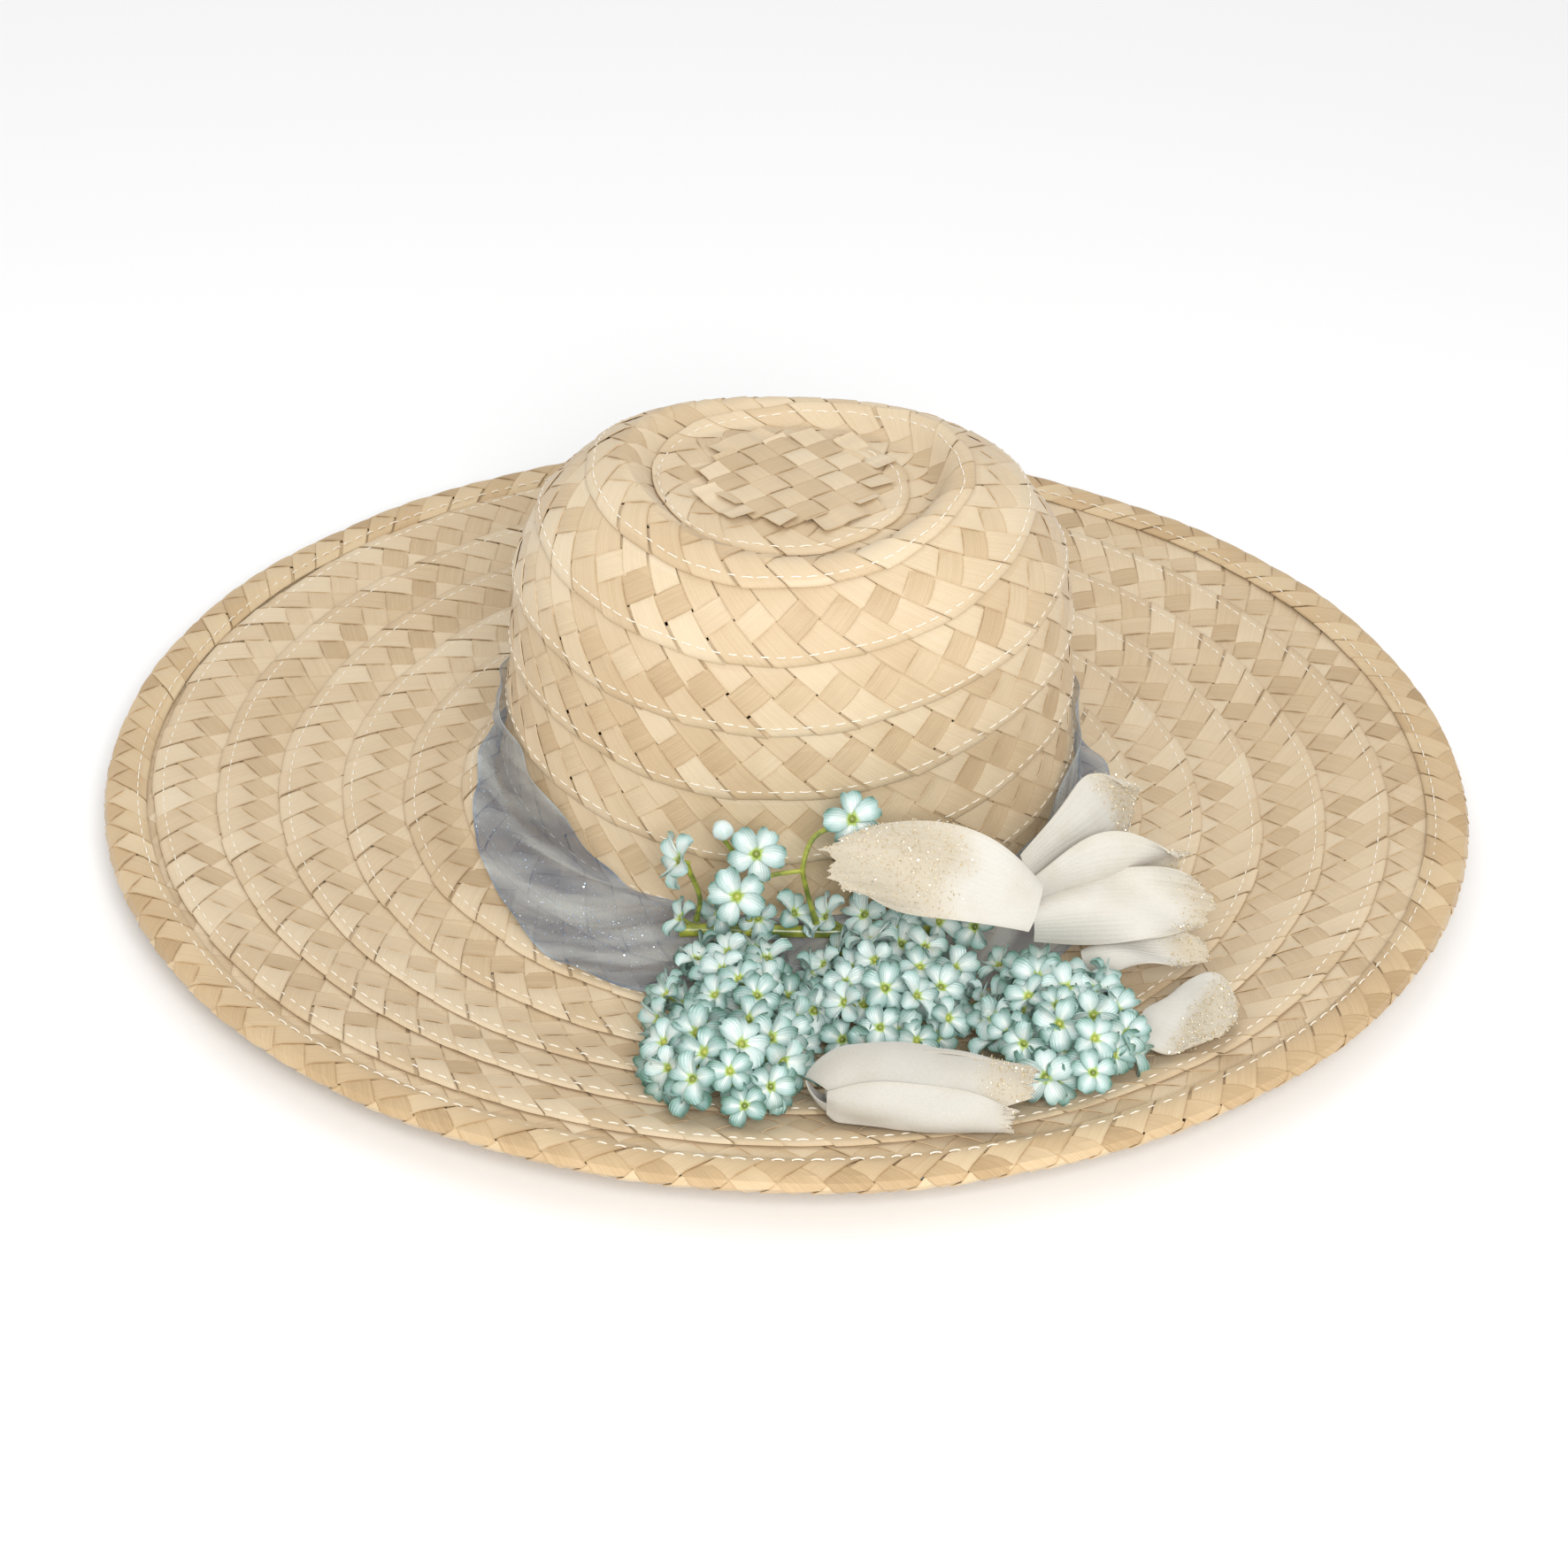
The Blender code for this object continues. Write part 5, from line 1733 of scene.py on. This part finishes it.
    def build_rose(self) -> None:
        """Roll the rose bud from wrapped petals on its side."""
        left, right = np.array((0.0085, -0.1985, 0.0245)), np.array((0.0800, -0.2090, 0.0265))
        axis = (right - left) / np.linalg.norm(right - left)
        side = np.cross(axis, (0, 0, 1.0))
        side /= np.linalg.norm(side)
        up = np.cross(side, axis)
        total = float(np.linalg.norm(right - left))
        wraps = (
            # first and last share along, first and last angle from above towards the front, size, flare, glue
            ("rose_core", 0.10, 0.88, -150, 190, 0.62, 0.00, 0.80, 1),
            ("rose_back", 0.02, 0.97, 200, 345, 0.88, 0.10, 0.80, 2),
            ("rose_under", 0.00, 0.90, 75, 205, 0.98, 0.06, 0.80, 3),
            ("rose_top", 0.00, 1.00, -70, 78, 0.90, 0.16, 0.74, 4),
            ("rose_front", 0.12, 0.93, 38, 128, 1.04, 0.20, 0.86, 5),
        )
        pieces = []
        for name, a0, a1, first, last, size, flare, glue_from, seed in wraps:
            rng = np.random.default_rng(seed + 90)
            a = np.linspace(a0, a1, 46)[:, None]
            s = np.linspace(-1, 1, 40)[None, :]
            corner = 0.5 + 0.5 * (1 - np.abs(2 * (a - a0) / (a1 - a0) - 1) ** 3.2)
            angle = np.radians((first + last) / 2 + (last - first) / 2 * s * corner)
            swell = np.sqrt(np.clip(np.sin(math.pi * (0.06 + 0.80 * a ** 0.8)), 0, 1)) * 0.92 + 0.08
            swell = swell * np.maximum(np.sqrt(1 - (1 - np.minimum(a / 0.18, 1.0)) ** 2), 0.16)
            lip = flare * np.abs(s) ** 5 * 0.20 + 0.05 * np.sin(a * 9 + seed) * np.abs(s) ** 3
            wave = 0.020 * np.sin(a * 14 + s * 3 + seed) + 0.03 * np.sin(a * 5 - s * 4 + seed)
            reach = (swell * size * (1 + lip + wave))[..., None]
            middle = left + axis * total * a[..., None]
            fray = (rng.normal(0, 0.0012, 40)[None, :] * (a > a1 - 0.03))[..., None] * axis
            grid = middle + reach * (side * 0.0172 * np.sin(angle)[..., None]
                                     + up * 0.0130 * np.cos(angle)[..., None]) + fray
            away, theta = np.hypot(grid[..., 0], grid[..., 1]), np.arctan2(-grid[..., 0], -grid[..., 1])
            straw_top = self.shape.brim_height(away, self.shape.brim_start(theta), theta) + 0.0052
            grid[..., 2] = np.maximum(grid[..., 2], straw_top)
            glue = np.clip((a - glue_from) / 0.10 + 0 * s, 0, 1) * 0.8
            mesh = cloth_shell(name, grid, self.cloth_thickness, glue=glue)
            piece = put(name, mesh, self.bud_cloth, 60)
            settle(piece, "petal_cloth", *(("rose_bud",) if name == "rose_under" else ()))
            pieces.append((piece, grid, mesh, seed))
        for piece, grid, mesh, seed in pieces:
            flakes = settle(self.glitterer.scatter(f"{piece.name}_glitter", mesh, self.gold, Seed=seed + 40,
                                                   Lift=0.0006), "petal_cloth")
            self.declare(grid)

    def build(self) -> None:
        """Build the whole spray."""
        self.build_blossoms()
        self.build_stems()
        self.build_petals()
        self.build_rose()


# ---------------------------------------------------------------- floor, light and camera
@dataclass
class Studio:
    """Pale floor, soft studio light and the camera."""

    distance: float = 1.25
    elevation: float = math.radians(34.05)
    look_height: float = 0.005
    lens: float = 76.9
    roll: float = math.radians(1.45)
    shift: tuple[float, float] = (-0.0023, -0.0020)

    def build_camera(self) -> None:
        """Set the camera in front of and above the hat."""
        data = bpy.data.cameras.new("camera")
        data.lens, data.sensor_width = self.lens, 36.0
        data.shift_x, data.shift_y = self.shift
        data.clip_start = 0.05
        camera = bpy.data.objects.new("camera", data)
        bpy.context.scene.collection.objects.link(camera)
        level, rise = self.distance * math.cos(self.elevation), self.distance * math.sin(self.elevation)
        turn = Matrix.Rotation(math.pi / 2 - self.elevation, 4, "X") @ Matrix.Rotation(self.roll, 4, "Z")
        camera.matrix_world = Matrix.Translation((0.0, -level, self.look_height + rise)) @ turn
        bpy.context.scene.camera = camera

    def add_area(self, name: str, place: tuple[float, float, float], size: float, power: float) -> None:
        """Add a soft square light that faces the hat.

        Args:
            name: The light's name.
            place: Where it hangs.
            size: Its side.
            power: Its power in watts.
        """
        data = bpy.data.lights.new(name, "AREA")
        data.size, data.energy = size, power
        lamp = bpy.data.objects.new(name, data)
        bpy.context.scene.collection.objects.link(lamp)
        lamp.location = place
        lamp.rotation_euler = (Vector(place) - Vector((0, 0, 0.05))).to_track_quat("Z", "Y").to_euler()

    def build(self) -> None:
        """Build the floor, the lights and the plain white surroundings."""
        bm = bmesh.new()
        bmesh.ops.create_grid(bm, x_segments=1, y_segments=1, size=12.0)
        mesh = bpy.data.meshes.new("floor")
        bm.to_mesh(mesh)
        bm.free()
        put("floor", mesh, FloorFinish().paint())
        self.build_camera()
        self.add_area("key", (0.15, -1.25, 0.90), 0.50, 15.5)
        self.add_area("over", (-0.4, 0.5, 1.9), 1.8, 6.0)
        world = bpy.data.worlds.new("surroundings")
        world.use_nodes = True
        back = world.node_tree.nodes["Background"]
        back.inputs["Color"].default_value = (1.0, 1.0, 1.0, 1.0)
        back.inputs["Strength"].default_value = 0.72
        bpy.context.scene.world = world
        bpy.context.scene.view_settings.view_transform = "Standard"


def main() -> None:
    """Build the hat's looks piece by piece."""
    logging.basicConfig(level=logging.INFO, format="%(message)s")
    Studio().build()
    shape = HatShape()
    straw = StrawFinish().paint()
    binding = StrawFinish("straw_binding", (224, 205, 174), (209, 186, 149), (192, 164, 124),
                          (163, 134, 95)).paint()
    thread = ThreadFinish().paint()
    layer, stitcher, glitterer = PlaitLayer(Plait()), Stitcher(), Glitterer()
    SewnSpiral(shape, layer, stitcher).build(straw, thread)
    RimBinding(shape, layer, stitcher).build(binding, thread, SteelFinish().paint())
    layer.clear()
    frost = GlitterFinish("band_glitter", (244, 248, 252), (168, 190, 214)).paint()
    OrganzaBand(shape, glitterer).build(OrganzaFinish().paint(), frost)
    FlowerSpray(shape, Blossoms(shape), glitterer, satin=SatinFinish().paint(), green=GreenFinish().paint(),
                cloth=PetalClothFinish().paint(),
                bud_cloth=PetalClothFinish("bud_cloth", (184, 180, 170), (172, 165, 148), 20.0).paint(),
                gold=GlitterFinish().paint()).build()


if __name__ == "__main__":
    main()
